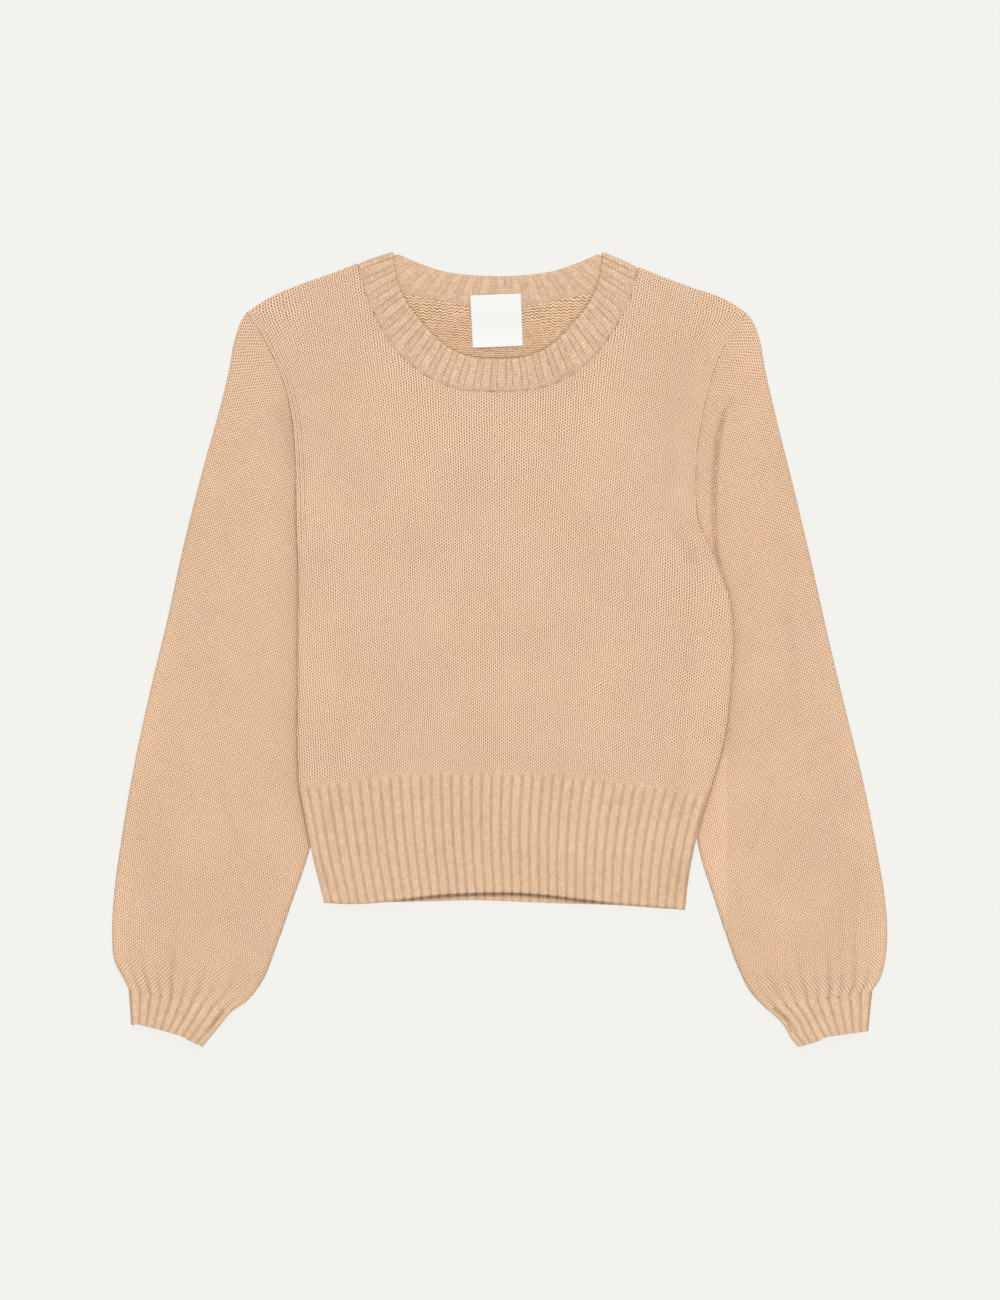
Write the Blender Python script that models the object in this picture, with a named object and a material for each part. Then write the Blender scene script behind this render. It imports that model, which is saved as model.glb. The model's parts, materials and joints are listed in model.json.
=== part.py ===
# Cropped knit sweater laid flat on its back, front side up.
# Units in the tables are millimetres; x runs across, y up the body, z up from the floor.
import bpy
import numpy as np

MM = 0.001
WALL = 2.2
LAYER_GAP = 1.3
SEAM = 0.3
BODY_TOP = 2 * WALL + LAYER_GAP
BODY_MID = BODY_TOP / 2
EDGE_ROUND = 5.0
EDGE_WALL = 2.0
LIFT = BODY_TOP + SEAM
RAMP = 12.0
BALLOON = 2.2
HEM_RIBS = 40
HEM_RIB_RISE = 0.6
CUFF_RIBS = 10
CUFF_RIB_RISE = 0.5
NECK_MIDDLE = -1.3
NECK_RIBS_FRONT = 24
NECK_RIBS_BACK = 15
NECK_RIB_RISE = 0.4
BAND_WALL = 3.0
BAND_FRONT_LOW = 3.7
BAND_TURN = 3.7
LABEL_WALL = 1.0
CENTRING = (-0.3, 0.95, 0.0)

# Side edges from the hem corner up to the armpit, as x away from the middle and y.
RIB_RIGHT = [(149.2, -216.3), (156.8, -184.0), (164.0, -149.2), (170.4, -115.2)]
RIB_LEFT = [(157.7, -222.3), (162.8, -181.5), (170.4, -147.5), (178.1, -122.1)]
SIDE_RIGHT = [(170.4, -115.2), (171.7, -77.8), (171.3, -35.3), (171.3, 7.2),
              (170.8, 45.5), (171.3, 83.7)]
SIDE_LEFT = [(178.1, -122.1), (190.8, -77.8), (195.9, -35.3), (198.5, 7.2),
             (194.2, 45.5), (180.6, 81.2)]
ARM_RIGHT = [(171.3, 83.7), (172.5, 126.2), (173.4, 160.2), (176.8, 198.5),
             (184.0, 228.2), (195.1, 253.7), (205.3, 271.6), (213.8, 286.0)]
ARM_LEFT = [(180.6, 81.2), (168.6, 107.5), (166.6, 144.9), (171.5, 193.4),
            (179.8, 228.2), (190.8, 257.1), (200.2, 271.4), (208.7, 284.3)]
# Top of the shoulder from the armhole to the neck, as x away from the middle and y.
SHOULDER_RIGHT = [(213.8, 286.0), (194.2, 299.6), (168.7, 309.8), (139.8, 320.0), (121.1, 327.6)]
SHOULDER_LEFT = [(208.7, 284.3), (194.2, 296.2), (159.4, 309.8), (139.8, 317.6), (118.5, 327.6)]
# Neck curves from the shoulder to the middle, as x away from the neck's middle and y.
NECK_SEAM_FRONT = [(119.8, 327.6), (115.2, 311.1), (109.6, 293.7), (100.7, 275.0),
                   (88.8, 256.3), (71.8, 239.3), (53.1, 227.4), (34.0, 221.0), (0.0, 218.0)]
NECK_EDGE_FRONT = [(89.2, 337.4), (87.5, 323.4), (84.1, 308.1), (76.5, 292.8),
                   (63.8, 276.7), (49.3, 261.4), (34.0, 251.6), (17.0, 246.9), (0.0, 246.1)]
NECK_SEAM_BACK = [(119.8, 327.6), (103.7, 314.1), (80.8, 302.6), (56.1, 297.1),
                  (30.6, 292.0), (0.0, 290.3)]
NECK_EDGE_BACK = [(89.2, 337.4), (68.4, 328.2), (47.6, 321.2), (21.2, 317.5), (0.0, 316.6)]
# Lines across the body as x and y.
RIB_LINE = [(-170.4, -115.2), (-115.2, -108.8), (-67.6, -104.5), (-20.0, -103.3),
            (16.2, -103.5), (51.9, -104.7), (99.6, -110.9), (147.5, -118.0), (178.1, -122.1)]
HEM_FRONT = [(-149.2, -216.3), (-127.1, -216.8), (-103.3, -214.6), (-79.5, -211.8),
             (-55.7, -209.5), (-20.0, -207.8), (16.2, -207.8), (40.0, -209.5),
             (71.0, -213.3), (99.6, -216.8), (123.7, -218.9), (157.7, -222.3)]
HEM_BACK = [(-149.2, -216.3), (-108.4, -215.2), (-67.6, -214.6), (-20.0, -213.3),
            (16.2, -214.2), (51.9, -216.2), (99.6, -218.4), (128.0, -220.4), (157.7, -222.3)]
# Sleeve edges from the wrist up, as x away from the middle and y.
OUTER_RIGHT = [(315.8, -289.4), (321.5, -280.1), (327.2, -264.3), (329.4, -243.5),
               (327.7, -207.8), (321.7, -162.8), (311.5, -103.3), (297.9, -39.5),
               (282.6, 24.2), (268.2, 89.7), (252.0, 153.4), (238.4, 206.1),
               (228.2, 250.3), (213.8, 286.0)]
OUTER_LEFT = [(317.1, -291.1), (323.0, -280.9), (328.1, -264.8), (329.8, -239.3),
              (327.7, -212.1), (320.9, -171.3), (309.0, -111.8), (295.4, -56.5),
              (280.1, 7.2), (264.8, 75.2), (248.6, 143.2), (234.2, 201.0),
              (224.8, 243.5), (208.7, 284.3)]
INNER_RIGHT = [(228.2, -309.0), (213.8, -298.8), (201.4, -282.6), (190.8, -256.3),
               (177.2, -218.0), (161.9, -173.0), (149.2, -120.3), (145.8, -56.5),
               (144.9, -1.3), (149.9, 37.8), (157.5, 58.2), (164.0, 71.1), (171.3, 83.7)]
INNER_LEFT = [(226.5, -306.4), (213.8, -292.8), (203.2, -272.4), (192.9, -244.4),
              (182.3, -212.1), (169.6, -171.3), (162.8, -118.6), (166.2, -60.8),
              (170.4, -5.5), (172.0, 36.1), (173.7, 58.2), (176.4, 70.1), (180.6, 81.2)]
# Free end of each cuff, inner corner then outer, as x away from the middle and y.
CUFF_END_RIGHT = [(252.4, -338.7), (313.2, -320.0)]
CUFF_END_LEFT = [(253.7, -338.7), (313.6, -325.1)]
LABEL_CORNERS = [(-25.1, 300.1), (18.3, 301.8), (20.0, 257.1), (-22.9, 255.4)]


def clear_scene():
    for obj in list(bpy.data.objects):
        bpy.data.objects.remove(obj, do_unlink=True)


def material(name, colour, roughness):
    made = bpy.data.materials.new(name)
    made.use_nodes = True
    shader = made.node_tree.nodes["Principled BSDF"]
    shader.inputs["Base Color"].default_value = (*colour, 1.0)
    shader.inputs["Roughness"].default_value = roughness
    shader.inputs["Metallic"].default_value = 0.0
    return made


def curve(table, t):
    """Points of a smooth curve through the table, t from 0 to 1 by the chord's length."""
    p = np.asarray(table, float)
    chord = np.r_[0.0, np.cumsum(np.linalg.norm(np.diff(p, axis=0), axis=1))]
    slope = np.gradient(p, chord, axis=0)
    at = np.clip(np.asarray(t, float), 0.0, 1.0) * chord[-1]
    k = np.clip(np.searchsorted(chord, at, side="right") - 1, 0, len(p) - 2)
    step = (chord[k + 1] - chord[k])[..., None]
    f = ((at - chord[k]) / (chord[k + 1] - chord[k]))[..., None]
    value = (2 * f**3 - 3 * f**2 + 1) * p[k] + (3 * f**2 - 2 * f**3) * p[k + 1]
    turn = (f**3 - 2 * f**2 + f) * slope[k] + (f**3 - f**2) * slope[k + 1]
    return value + step * turn


def length_of(table):
    return float(np.linalg.norm(np.diff(np.asarray(table), axis=0), axis=1).sum())


def ease(x):
    x = np.clip(x, 0.0, 1.0)
    return x * x * (3.0 - 2.0 * x)


def mesh_object(name, points, faces, look):
    mesh = bpy.data.meshes.new(name)
    mesh.from_pydata(((np.asarray(points) + CENTRING) * MM).tolist(), [], faces)
    mesh.materials.append(look)
    mesh.validate()
    obj = bpy.data.objects.new(name, mesh)
    bpy.context.scene.collection.objects.link(obj)


def slab(name, upper, lower, look):
    """A closed solid between two grids of the same shape, [row][column][xyz]."""
    rows, cols = upper.shape[:2]
    points = np.concatenate([upper.reshape(-1, 3), lower.reshape(-1, 3)])
    low = rows * cols
    faces = []
    for j in range(rows - 1):
        for i in range(cols - 1):
            a = j * cols + i
            faces.append((a, a + 1, a + cols + 1, a + cols))
            faces.append((low + a, low + a + cols, low + a + cols + 1, low + a + 1))
    for i in range(cols - 1):
        a = i
        b = (rows - 1) * cols + i
        faces.append((a, low + a, low + a + 1, a + 1))
        faces.append((b, b + 1, low + b + 1, low + b))
    for j in range(rows - 1):
        a = j * cols
        b = a + cols - 1
        faces.append((a, a + cols, low + a + cols, low + a))
        faces.append((b, low + b, low + b + cols, b + cols))
    mesh_object(name, points, faces, look)


def tube(name, outer, inner, look):
    """An open-ended tube between two stacks of closed rings, [row][point][xyz]."""
    rows, count = outer.shape[:2]
    points = np.concatenate([outer.reshape(-1, 3), inner.reshape(-1, 3)])
    low = rows * count
    faces = []
    for j in range(rows - 1):
        for i in range(count):
            a = j * count + i
            b = j * count + (i + 1) % count
            faces.append((a, b, b + count, a + count))
            faces.append((low + a, low + a + count, low + b + count, low + b))
    for i in range(count):
        a = i
        b = (i + 1) % count
        top = (rows - 1) * count
        faces.append((a, low + a, low + b, b))
        faces.append((top + a, top + b, low + top + b, low + top + a))
    mesh_object(name, points, faces, look)


def ring(name, sections, look):
    """A closed ring of closed sections, [station][point][xyz]."""
    count, size = sections.shape[:2]
    faces = []
    for k in range(count):
        after = (k + 1) % count
        for q in range(size):
            r = (q + 1) % size
            faces.append((k * size + q, k * size + r, after * size + r, after * size + q))
    mesh_object(name, sections.reshape(-1, 3), faces, look)


# ---- the body's outline -------------------------------------------------------------------
SIDES = {
    -1: (RIB_RIGHT, SIDE_RIGHT, ARM_RIGHT, SHOULDER_RIGHT, INNER_RIGHT, OUTER_RIGHT),
    1: (RIB_LEFT, SIDE_LEFT, ARM_LEFT, SHOULDER_LEFT, INNER_LEFT, OUTER_LEFT),
}


def edge_point(side, w):
    """A point of the body's edge: w 0 hem, 1 top of the rib, 2 armpit, 3 shoulder."""
    w = np.asarray(w, float)
    rib, flank, arm = SIDES[side][:3]
    point = np.where((w < 1)[..., None], curve(rib, w), curve(flank, w - 1))
    point = np.where((w > 2)[..., None], curve(arm, w - 2), point)
    return point * np.array([side, 1.0])


def neck_shares():
    """Shares of the body's top width at which the neckline starts and ends."""
    left, right = SHOULDER_RIGHT[0][0], SHOULDER_LEFT[0][0]
    start = (left - SHOULDER_RIGHT[-1][0]) / (left + right)
    return start, 1 - (right - SHOULDER_LEFT[-1][0]) / (left + right)


def evenly(points, t):
    """Points at shares t of a polyline's length."""
    far = np.r_[0.0, np.cumsum(np.linalg.norm(np.diff(points, axis=0), axis=1))]
    at = np.clip(t, 0, 1) * far[-1]
    return np.stack([np.interp(at, far, points[:, k]) for k in range(points.shape[1])], axis=-1)


def whole_neck(half_table, steps=90):
    """A neck curve from -x to +x, from its half table."""
    half = curve(half_table, np.linspace(0, 1, steps))
    middle = np.array([NECK_MIDDLE, 0.0])
    return np.concatenate([half * np.array([-1.0, 1.0]) + middle, half[::-1][1:] + middle])


def across_to(table, share):
    """A point of a curve by its share of the way in x from the first point to the last."""
    p = curve(table, np.linspace(0, 1, 120))
    x = table[0][0] + np.clip(share, 0, 1) * (table[-1][0] - table[0][0])
    return np.stack([x, np.interp(-x, -p[:, 0], p[:, 1])], axis=-1)


def top_point(neck_seam, u):
    """A point of the body's top edge: a shoulder, the neckline, then the other shoulder."""
    start, end = neck_shares()
    left = across_to(SHOULDER_RIGHT, u / start) * np.array([-1.0, 1.0])
    right = across_to(SHOULDER_LEFT, (1 - u) / (1 - end))
    neck = evenly(whole_neck(neck_seam), (u - start) / (end - start))
    point = np.where((u < start)[..., None], left, neck)
    return np.where((u > end)[..., None], right, point)


def line_point(table, u):
    """A point of a line across the body, by its share u of the line's width."""
    x = table[0][0] + np.asarray(u, float) * (table[-1][0] - table[0][0])
    t = np.linspace(0, 1, 200)
    p = curve(table, t)
    return np.stack([x, np.interp(x, p[:, 0], p[:, 1])], axis=-1)


def body_plan(u, w, neck_seam):
    """The plan point of a body panel: u across from -x to +x, w as in edge_point."""
    v = ((w - 1) / 2)[..., None]
    plan = (1 - v) * line_point(RIB_LINE, u) + v * top_point(neck_seam, u)
    for side, share in ((-1, u), (1, 1 - u)):
        straight = (1 - v) * edge_point(side, np.ones_like(u))
        straight = straight + v * edge_point(side, np.full_like(u, 3.0))
        held = 1 - ease((share - 0.11) / 0.17)
        plan = plan + held[..., None] * (edge_point(side, w) - straight)
    return plan


def rib_plan(u, w, hem):
    """The plan point of a hem rib: w 0 at its lower edge and 1 at its top."""
    v = w[..., None]
    s = u[..., None]
    one = np.ones_like(u)
    corners = ((1 - s) * (1 - v) * edge_point(-1, 0 * one) + s * (1 - v) * edge_point(1, 0 * one)
               + (1 - s) * v * edge_point(-1, one) + s * v * edge_point(1, one))
    sides = (1 - s) * edge_point(-1, w) + s * edge_point(1, w)
    return (1 - v) * line_point(hem, u) + v * line_point(RIB_LINE, u) + sides - corners


# ---- how the body rides over the sleeves --------------------------------------------------
def covered_to(side, y):
    """How near the middle the sleeve beneath the body's edge reaches at this y, as |x|."""
    inner = curve(SIDES[side][4], np.linspace(0, 1, 300))
    edge = edge_point(side, np.linspace(0, 3, 400)) * np.array([side, 1.0])
    edge_x = np.interp(y, edge[:, 1], edge[:, 0])
    armpit = SIDES[side][1][-1][1]
    above = edge_x - 8.0 * (1 - ease((y - armpit - 22.0) / 18.0))
    below = np.interp(y, inner[:, 1], inner[:, 0])
    below = np.minimum(below, edge_x - 8.0 * ease((y - armpit + 40.0) / 40.0))
    return np.where(y > armpit, above, below)


def reach_in(side, w, plan_of):
    """Distance in from the edge, along a row, at which the body still has its full lift."""
    ends = plan_of(np.array([0.0, 1.0]), np.array([w, w]))
    width = ends[1, 0] - ends[0, 0]
    edge_x = ends[1, 0] if side > 0 else -ends[0, 0]
    away = 15.0
    for _ in range(8):
        share = 1 - away / width if side > 0 else away / width
        y = plan_of(np.array([share]), np.array([w]))[0, 1]
        away = max(float(edge_x - covered_to(side, y)) + 1.5, EDGE_ROUND + 2.5)
    return away


def carried(side, y):
    """How much of the full lift the body's edge has at this y."""
    armpit = SIDES[side][1][-1][1]
    return (1 - ease((y - armpit - 25.0) / 42.0)) * ease((y + 208.0) / 34.0)


def lift(y, left, right, reaches):
    """The body's rise over the sleeves, from the distances in from its two edges."""
    total = np.zeros_like(y)
    for side, away, reach in ((-1, left, reaches[0]), (1, right, reaches[1])):
        total += LIFT * carried(side, y) * ease((reach[:, None] + RAMP - away) / RAMP)
    return total


def rounded(away, run, rise):
    """Height over the middle of an edge that is a quarter of an ellipse, by the distance in."""
    f = np.clip(away / run, 0.0, 1.0)
    return rise * np.sqrt(np.maximum(1 - (1 - f) ** 2, 0.0))


def edge_columns(reach):
    """Distances in from one edge for the columns that round it and carry the ramp."""
    return np.array([0.0, 1.4, EDGE_ROUND, reach, reach + RAMP / 2, reach + RAMP])


def reaches_of(rows, plan_of):
    return [np.array([reach_in(side, w, plan_of) for w in rows]) for side in (-1, 1)]


def body_grid(rows, middle, plan_of):
    """Rows, distances in from both edges, shares across, plan points and reaches."""
    reaches = reaches_of(rows, plan_of)
    grid = []
    for w, reach_left, reach_right in zip(rows, *reaches):
        width = edge_point(1, w)[0] - edge_point(-1, w)[0]
        left = edge_columns(reach_left)
        right = width - edge_columns(reach_right)[::-1]
        inside = left[-1] + (right[0] - left[-1]) * np.asarray(middle)
        away = np.concatenate([left, inside, right])
        grid.append((np.full(len(away), w), away, width - away, away / width))
    w, left, right, u = (np.array([g[k] for g in grid]) for k in range(4))
    return w, left, right, u, plan_of(u, w), reaches


def arm_rows(side_rows, arm_steps):
    """Row stations up a panel: the side, then the armhole with close rows at its two ends."""
    long = (length_of(ARM_LEFT) + length_of(ARM_RIGHT)) / 2
    ends = np.array([1.4, EDGE_ROUND]) / long
    inner = np.linspace(ends[1], 1 - ends[1], arm_steps + 1)[1:-1]
    arm = np.concatenate([[0.0], ends, inner, 1 - ends[::-1], [1.0]])
    return np.linspace(1, 2, side_rows + 1)[:-1], 2 + arm


SIDE_ROWS, ARM_ROWS = arm_rows(7, 11)
PANEL_ROWS = np.concatenate([SIDE_ROWS, ARM_ROWS])


def middle_shares(neck_steps):
    """Shares between the two edges' columns, with one at each end of the neckline."""
    width = SHOULDER_RIGHT[0][0] + SHOULDER_LEFT[0][0]
    edge = EDGE_ROUND + 2.5 + RAMP
    start, end = ((share * width - edge) / (width - 2 * edge) for share in neck_shares())
    return np.concatenate([np.array([1, 2]) * start / 3, np.linspace(start, end, neck_steps + 1),
                           end + np.array([1, 2]) * (1 - end) / 3])


def both_faces(plan_of, u, w, left, right, facing, side_part, raised, relief):
    """Outer and inner face of a body piece: rounded at its sides, lifted over the sleeves."""
    near = np.minimum(left, right)
    faces = []
    for inset, rise in ((0.0, BODY_MID - SEAM / 2), (EDGE_WALL, (LAYER_GAP - SEAM) / 2)):
        in_left = np.where(left < EDGE_ROUND, inset * (1 - left / EDGE_ROUND), 0.0)
        in_right = np.where(right < EDGE_ROUND, inset * (1 - right / EDGE_ROUND), 0.0)
        moved = plan_of(u + side_part * (in_left - in_right) / (left + right), w)
        height = side_part * rounded(near, EDGE_ROUND, rise) + (1 - side_part) * rise
        if not inset:
            height = height + relief * side_part * np.clip(near / EDGE_ROUND, 0, 1)
        faces.append(np.dstack([moved, BODY_MID + facing * (height + SEAM / 2) + raised]))
    return faces


def panel(name, neck_seam, facing, neck_steps, look):
    """Front (facing 1) or back (facing -1) above the hem rib; gives its neckline's points."""
    def plan_of(share, row):
        return body_plan(share, row, neck_seam)
    w, left, right, u, plan, reaches = body_grid(PANEL_ROWS, middle_shares(neck_steps), plan_of)
    side_part = np.where(w <= 2.0, 1.0, 1 - ease((w - 2.0) / 0.05))
    raised = lift(plan[..., 1], left, right, reaches)
    outer, inner = both_faces(plan_of, u, w, left, right, facing, side_part, raised, 0.0)
    # The shoulders round over into the shoulder seam; the neckline stays full.
    start, end = neck_shares()
    on_shoulder = (u[-1] < start + 0.003) | (u[-1] > end - 0.003)
    down = np.linalg.norm(plan - plan[-1][None], axis=2)
    rounds = on_shoulder[None, :] & (down < EDGE_ROUND)
    inward = plan[-3] - plan[-1]
    inward = inward / np.linalg.norm(inward, axis=1)[:, None]
    for face, inset, rise in ((outer, 0.0, BODY_MID - SEAM / 2),
                              (inner, EDGE_WALL, (LAYER_GAP - SEAM) / 2)):
        height = rounded(down, EDGE_ROUND, rise) + SEAM / 2
        face[..., 2] = np.where(rounds, BODY_MID + facing * height + raised, face[..., 2])
        shift = np.where(rounds, inset * (1 - down / EDGE_ROUND), 0.0)
        face[..., :2] += shift[..., None] * inward
        face[0, :, 1] += SEAM / 2
    upper, lower = (outer, inner) if facing > 0 else (inner, outer)
    slab(name, upper, lower, look)
    columns = np.flatnonzero((u[-1] > start - 0.003) & (u[-1] < end + 0.003))
    return outer[-1, columns, :2]


def hem_rib(name, hem, facing, look):
    """Front rib with its raised wales, or the plain back rib that rests on the floor."""
    def plan_of(share, row):
        return rib_plan(share, row, hem)
    rows = np.linspace(0, 1, 7)
    if facing < 0:
        w, left, right, u, plan, reaches = body_grid(rows, np.linspace(0, 1, 8)[1:-1], plan_of)
        relief = 0.0
    else:
        steps = np.array([0.0, 0.3, 0.75])
        shares = (np.arange(HEM_RIBS)[:, None] + steps).ravel() / HEM_RIBS
        crest = np.tile([0.0, 1.0, 1.0], HEM_RIBS)
        width = edge_point(1, rows)[:, 0] - edge_point(-1, rows)[:, 0]
        inside = EDGE_ROUND + shares[None, 1:] * (width[:, None] - 2 * EDGE_ROUND)
        ends = np.tile([0.0, 1.4, EDGE_ROUND], (len(rows), 1))
        left = np.hstack([ends, inside, width[:, None] - ends[:, ::-1]])
        right = width[:, None] - left
        u = left / width[:, None]
        w = np.tile(rows[:, None], (1, left.shape[1]))
        plan = plan_of(u, w)
        reaches = reaches_of(rows, plan_of)
        relief = HEM_RIB_RISE * np.r_[np.zeros(3), crest[1:], np.zeros(3)][None, :]
        relief = relief * np.where(w == 1, 0.4, 1.0)
    raised = lift(plan[..., 1], left, right, reaches)
    outer, inner = both_faces(plan_of, u, w, left, right, facing, np.ones_like(w), raised, relief)
    for face in (outer, inner):
        face[-1, :, 1] -= SEAM / 2
    upper, lower = (outer, inner) if facing > 0 else (inner, outer)
    slab(name, upper, lower, look)


# ---- sleeves and cuffs --------------------------------------------------------------------
def sleeve_rows(side):
    """Left and right end of each row of a sleeve, and how many rows make a closed ring."""
    inner, outer = SIDES[side][4], SIDES[side][5]
    low = np.array([0, 0.02, 0.05, 0.1, 0.18, 0.28, 0.4, 0.52, 0.64, 0.76, 0.87, 0.95, 1.0])
    arm = curve(SIDES[side][2], ARM_ROWS[1:-1] - 2) + [0.5, 0.0]
    near = np.concatenate([curve(inner, low), arm])
    far = np.r_[0.0, np.cumsum(np.linalg.norm(np.diff(near, axis=0), axis=1))]
    share = far / (far[-1] + 1.4)
    return near, curve(outer, share), share, len(low)


def sleeve_top(side, index, v, point):
    """Height of a sleeve's upper face: level with the body at the armhole, fuller below."""
    edge = edge_point(side, np.linspace(0, 3, 400)) * np.array([side, 1.0])
    out = point[:, 0] - np.interp(point[:, 1], edge[:, 1], edge[:, 0])
    out = np.where(point[:, 1] < edge[0, 1], 40.0, out)
    full = BALLOON * ease((out - 12.0) / 22.0) * ease((1 - v) / 0.4) * ease(v / 0.05)
    trough = 0.9 * np.exp(-((out - 11.0) / 5.0) ** 2) * ease((1 - v) / 0.1) * ease((v - 0.3) / 0.2)
    gather = 0.9 * (index % 2) * np.exp(-v * 16.0) * ease(v / 0.02)
    return BODY_TOP + full - np.where(out > 3, trough, 0.0) - gather


def sleeve(name, side, look):
    """A tube folded flat, its upper and lower layers parted along the armhole."""
    near, far, share, closed = sleeve_rows(side)
    steps_top, steps_low = 10, 3
    outer = []
    inner = []
    for j, v in enumerate(share):
        width = np.linalg.norm(far[j] - near[j])
        edge = min(EDGE_ROUND, width * 0.45)
        ends = np.array([0.0, 0.28, 1.0]) * edge
        top = np.concatenate([ends, np.linspace(edge, width - edge, steps_top + 1)[1:-1],
                              width - ends[::-1]])
        low = np.concatenate([(width - ends)[1:],
                              np.linspace(width - edge, edge, steps_low + 1)[1:-1], ends[::-1]])
        parted = j >= closed
        rows = []
        for inset, over, under in ((0.0, 0.0, BODY_MID), (EDGE_WALL, WALL, BODY_MID - WALL)):
            inset = min(inset, edge * 0.5)
            points = []
            for away, is_top in ((top, True), (low, False)):
                from_far = np.clip((width - away) / edge, 0, 1)
                from_near = np.ones_like(away) if parted else np.clip(away / edge, 0, 1)
                moved = away + inset * (1 - from_near) - inset * (1 - from_far)
                plan = near[j] + (moved / width)[:, None] * (far[j] - near[j])
                curve_part = rounded(np.minimum(from_near, from_far), 1.0, 1.0)
                if is_top:
                    at = near[j] + (away / width)[:, None] * (far[j] - near[j])
                    index = np.clip(np.arange(len(away)) - 2, 0, steps_top)
                    height = (sleeve_top(side, index, v, at) - BODY_MID - over) * curve_part
                else:
                    height = -under * curve_part
                plan = plan + [0.0, SEAM / 2 if j == 0 else 0.0]
                points.append(np.column_stack([plan * [side, 1.0], BODY_MID + height]))
            rows.append(np.vstack(points))
        outer.append(rows[0])
        inner.append(rows[1])
    outer, inner = np.array(outer), np.array(inner)
    rows, cols = outer.shape[:2]
    points = np.concatenate([outer.reshape(-1, 3), inner.reshape(-1, 3)])
    low_start = rows * cols

    def at(j, i, layer):
        # The closed rows end where they start.
        return layer * low_start + j * cols + (0 if j < closed and i == cols - 1 else i)
    faces = []
    for j in range(rows - 1):
        for i in range(cols - 1):
            faces.append((at(j, i, 0), at(j, i + 1, 0), at(j + 1, i + 1, 0), at(j + 1, i, 0)))
            faces.append((at(j, i, 1), at(j + 1, i, 1), at(j + 1, i + 1, 1), at(j, i + 1, 1)))
        if j >= closed - 1:
            for i, turn in ((0, 1), (cols - 1, -1)):
                strip = (at(j, i, 0), at(j + 1, i, 0), at(j + 1, i, 1), at(j, i, 1))
                faces.append(strip[::turn])
    for i in range(cols - 1):
        faces.append((at(0, i, 0), at(0, i, 1), at(0, i + 1, 1), at(0, i + 1, 0)))
        end = (at(rows - 1, i, 0), at(rows - 1, i + 1, 0), at(rows - 1, i + 1, 1))
        faces.append((*end, at(rows - 1, i, 1)))
    used = np.unique([k for face in faces for k in face])
    order = {int(k): n for n, k in enumerate(used)}
    faces = [tuple(order[k] for k in (face if side > 0 else face[::-1])) for face in faces]
    mesh_object(name, points[used], faces, look)


def cuff(name, side, free_end, look):
    """A flat tube with raised wales on its upper face."""
    inner_edge, outer_edge = SIDES[side][4][0], SIDES[side][5][0]
    steps = np.array([0.0, 0.4, 0.55, 0.85])
    shares = ((np.arange(CUFF_RIBS)[:, None] + steps).ravel() / CUFF_RIBS)[1:]
    crest = np.tile([0.0, 0.0, 1.0, 1.0], CUFF_RIBS)[1:]
    outers = []
    inners = []
    for t in (0.0, 0.5, 1.0):
        a = np.array(free_end[0]) * (1 - t) + np.array(inner_edge) * t
        b = np.array(free_end[1]) * (1 - t) + np.array(outer_edge) * t
        if t == 1:
            a, b = a - [0.0, SEAM / 2], b - [0.0, SEAM / 2]
        width = np.linalg.norm(b - a)
        ends = np.array([0.0, 1.4, EDGE_ROUND])
        away = np.concatenate([ends, ends[-1] + shares * (width - 2 * ends[-1]),
                               width - ends[::-1]])
        rise = CUFF_RIB_RISE * np.r_[np.zeros(3), crest, np.zeros(3)] * (0.4 if t == 1 else 1.0)
        low_away = np.array([1.4, EDGE_ROUND, width / 2, width - EDGE_ROUND, width - 1.4])
        rings = []
        for inset, over, under in ((0.0, BODY_MID, BODY_MID),
                                   (EDGE_WALL, BODY_MID - WALL, BODY_MID - WALL)):
            ring_points = []
            for far, top in ((away, True), (low_away[::-1], False)):
                near = np.minimum(far, width - far)
                step = inset * np.clip(1 - near / EDGE_ROUND, 0, 1)
                moved = far + np.where(far < width / 2, step, -step)
                plan = a + (moved / width)[:, None] * (b - a)
                curve_part = rounded(near, EDGE_ROUND, 1.0)
                height = over * curve_part if top else -under * curve_part
                if top and not inset:
                    height = height + rise
                ring_points.append(np.column_stack([plan * [side, 1.0], BODY_MID + height]))
            rings.append(np.vstack(ring_points))
        outers.append(rings[0])
        inners.append(rings[1])
    outer, inner = np.array(outers), np.array(inners)
    if side < 0:
        outer, inner = outer[:, ::-1], inner[:, ::-1]
    tube(name, outer, inner, look)


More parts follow.
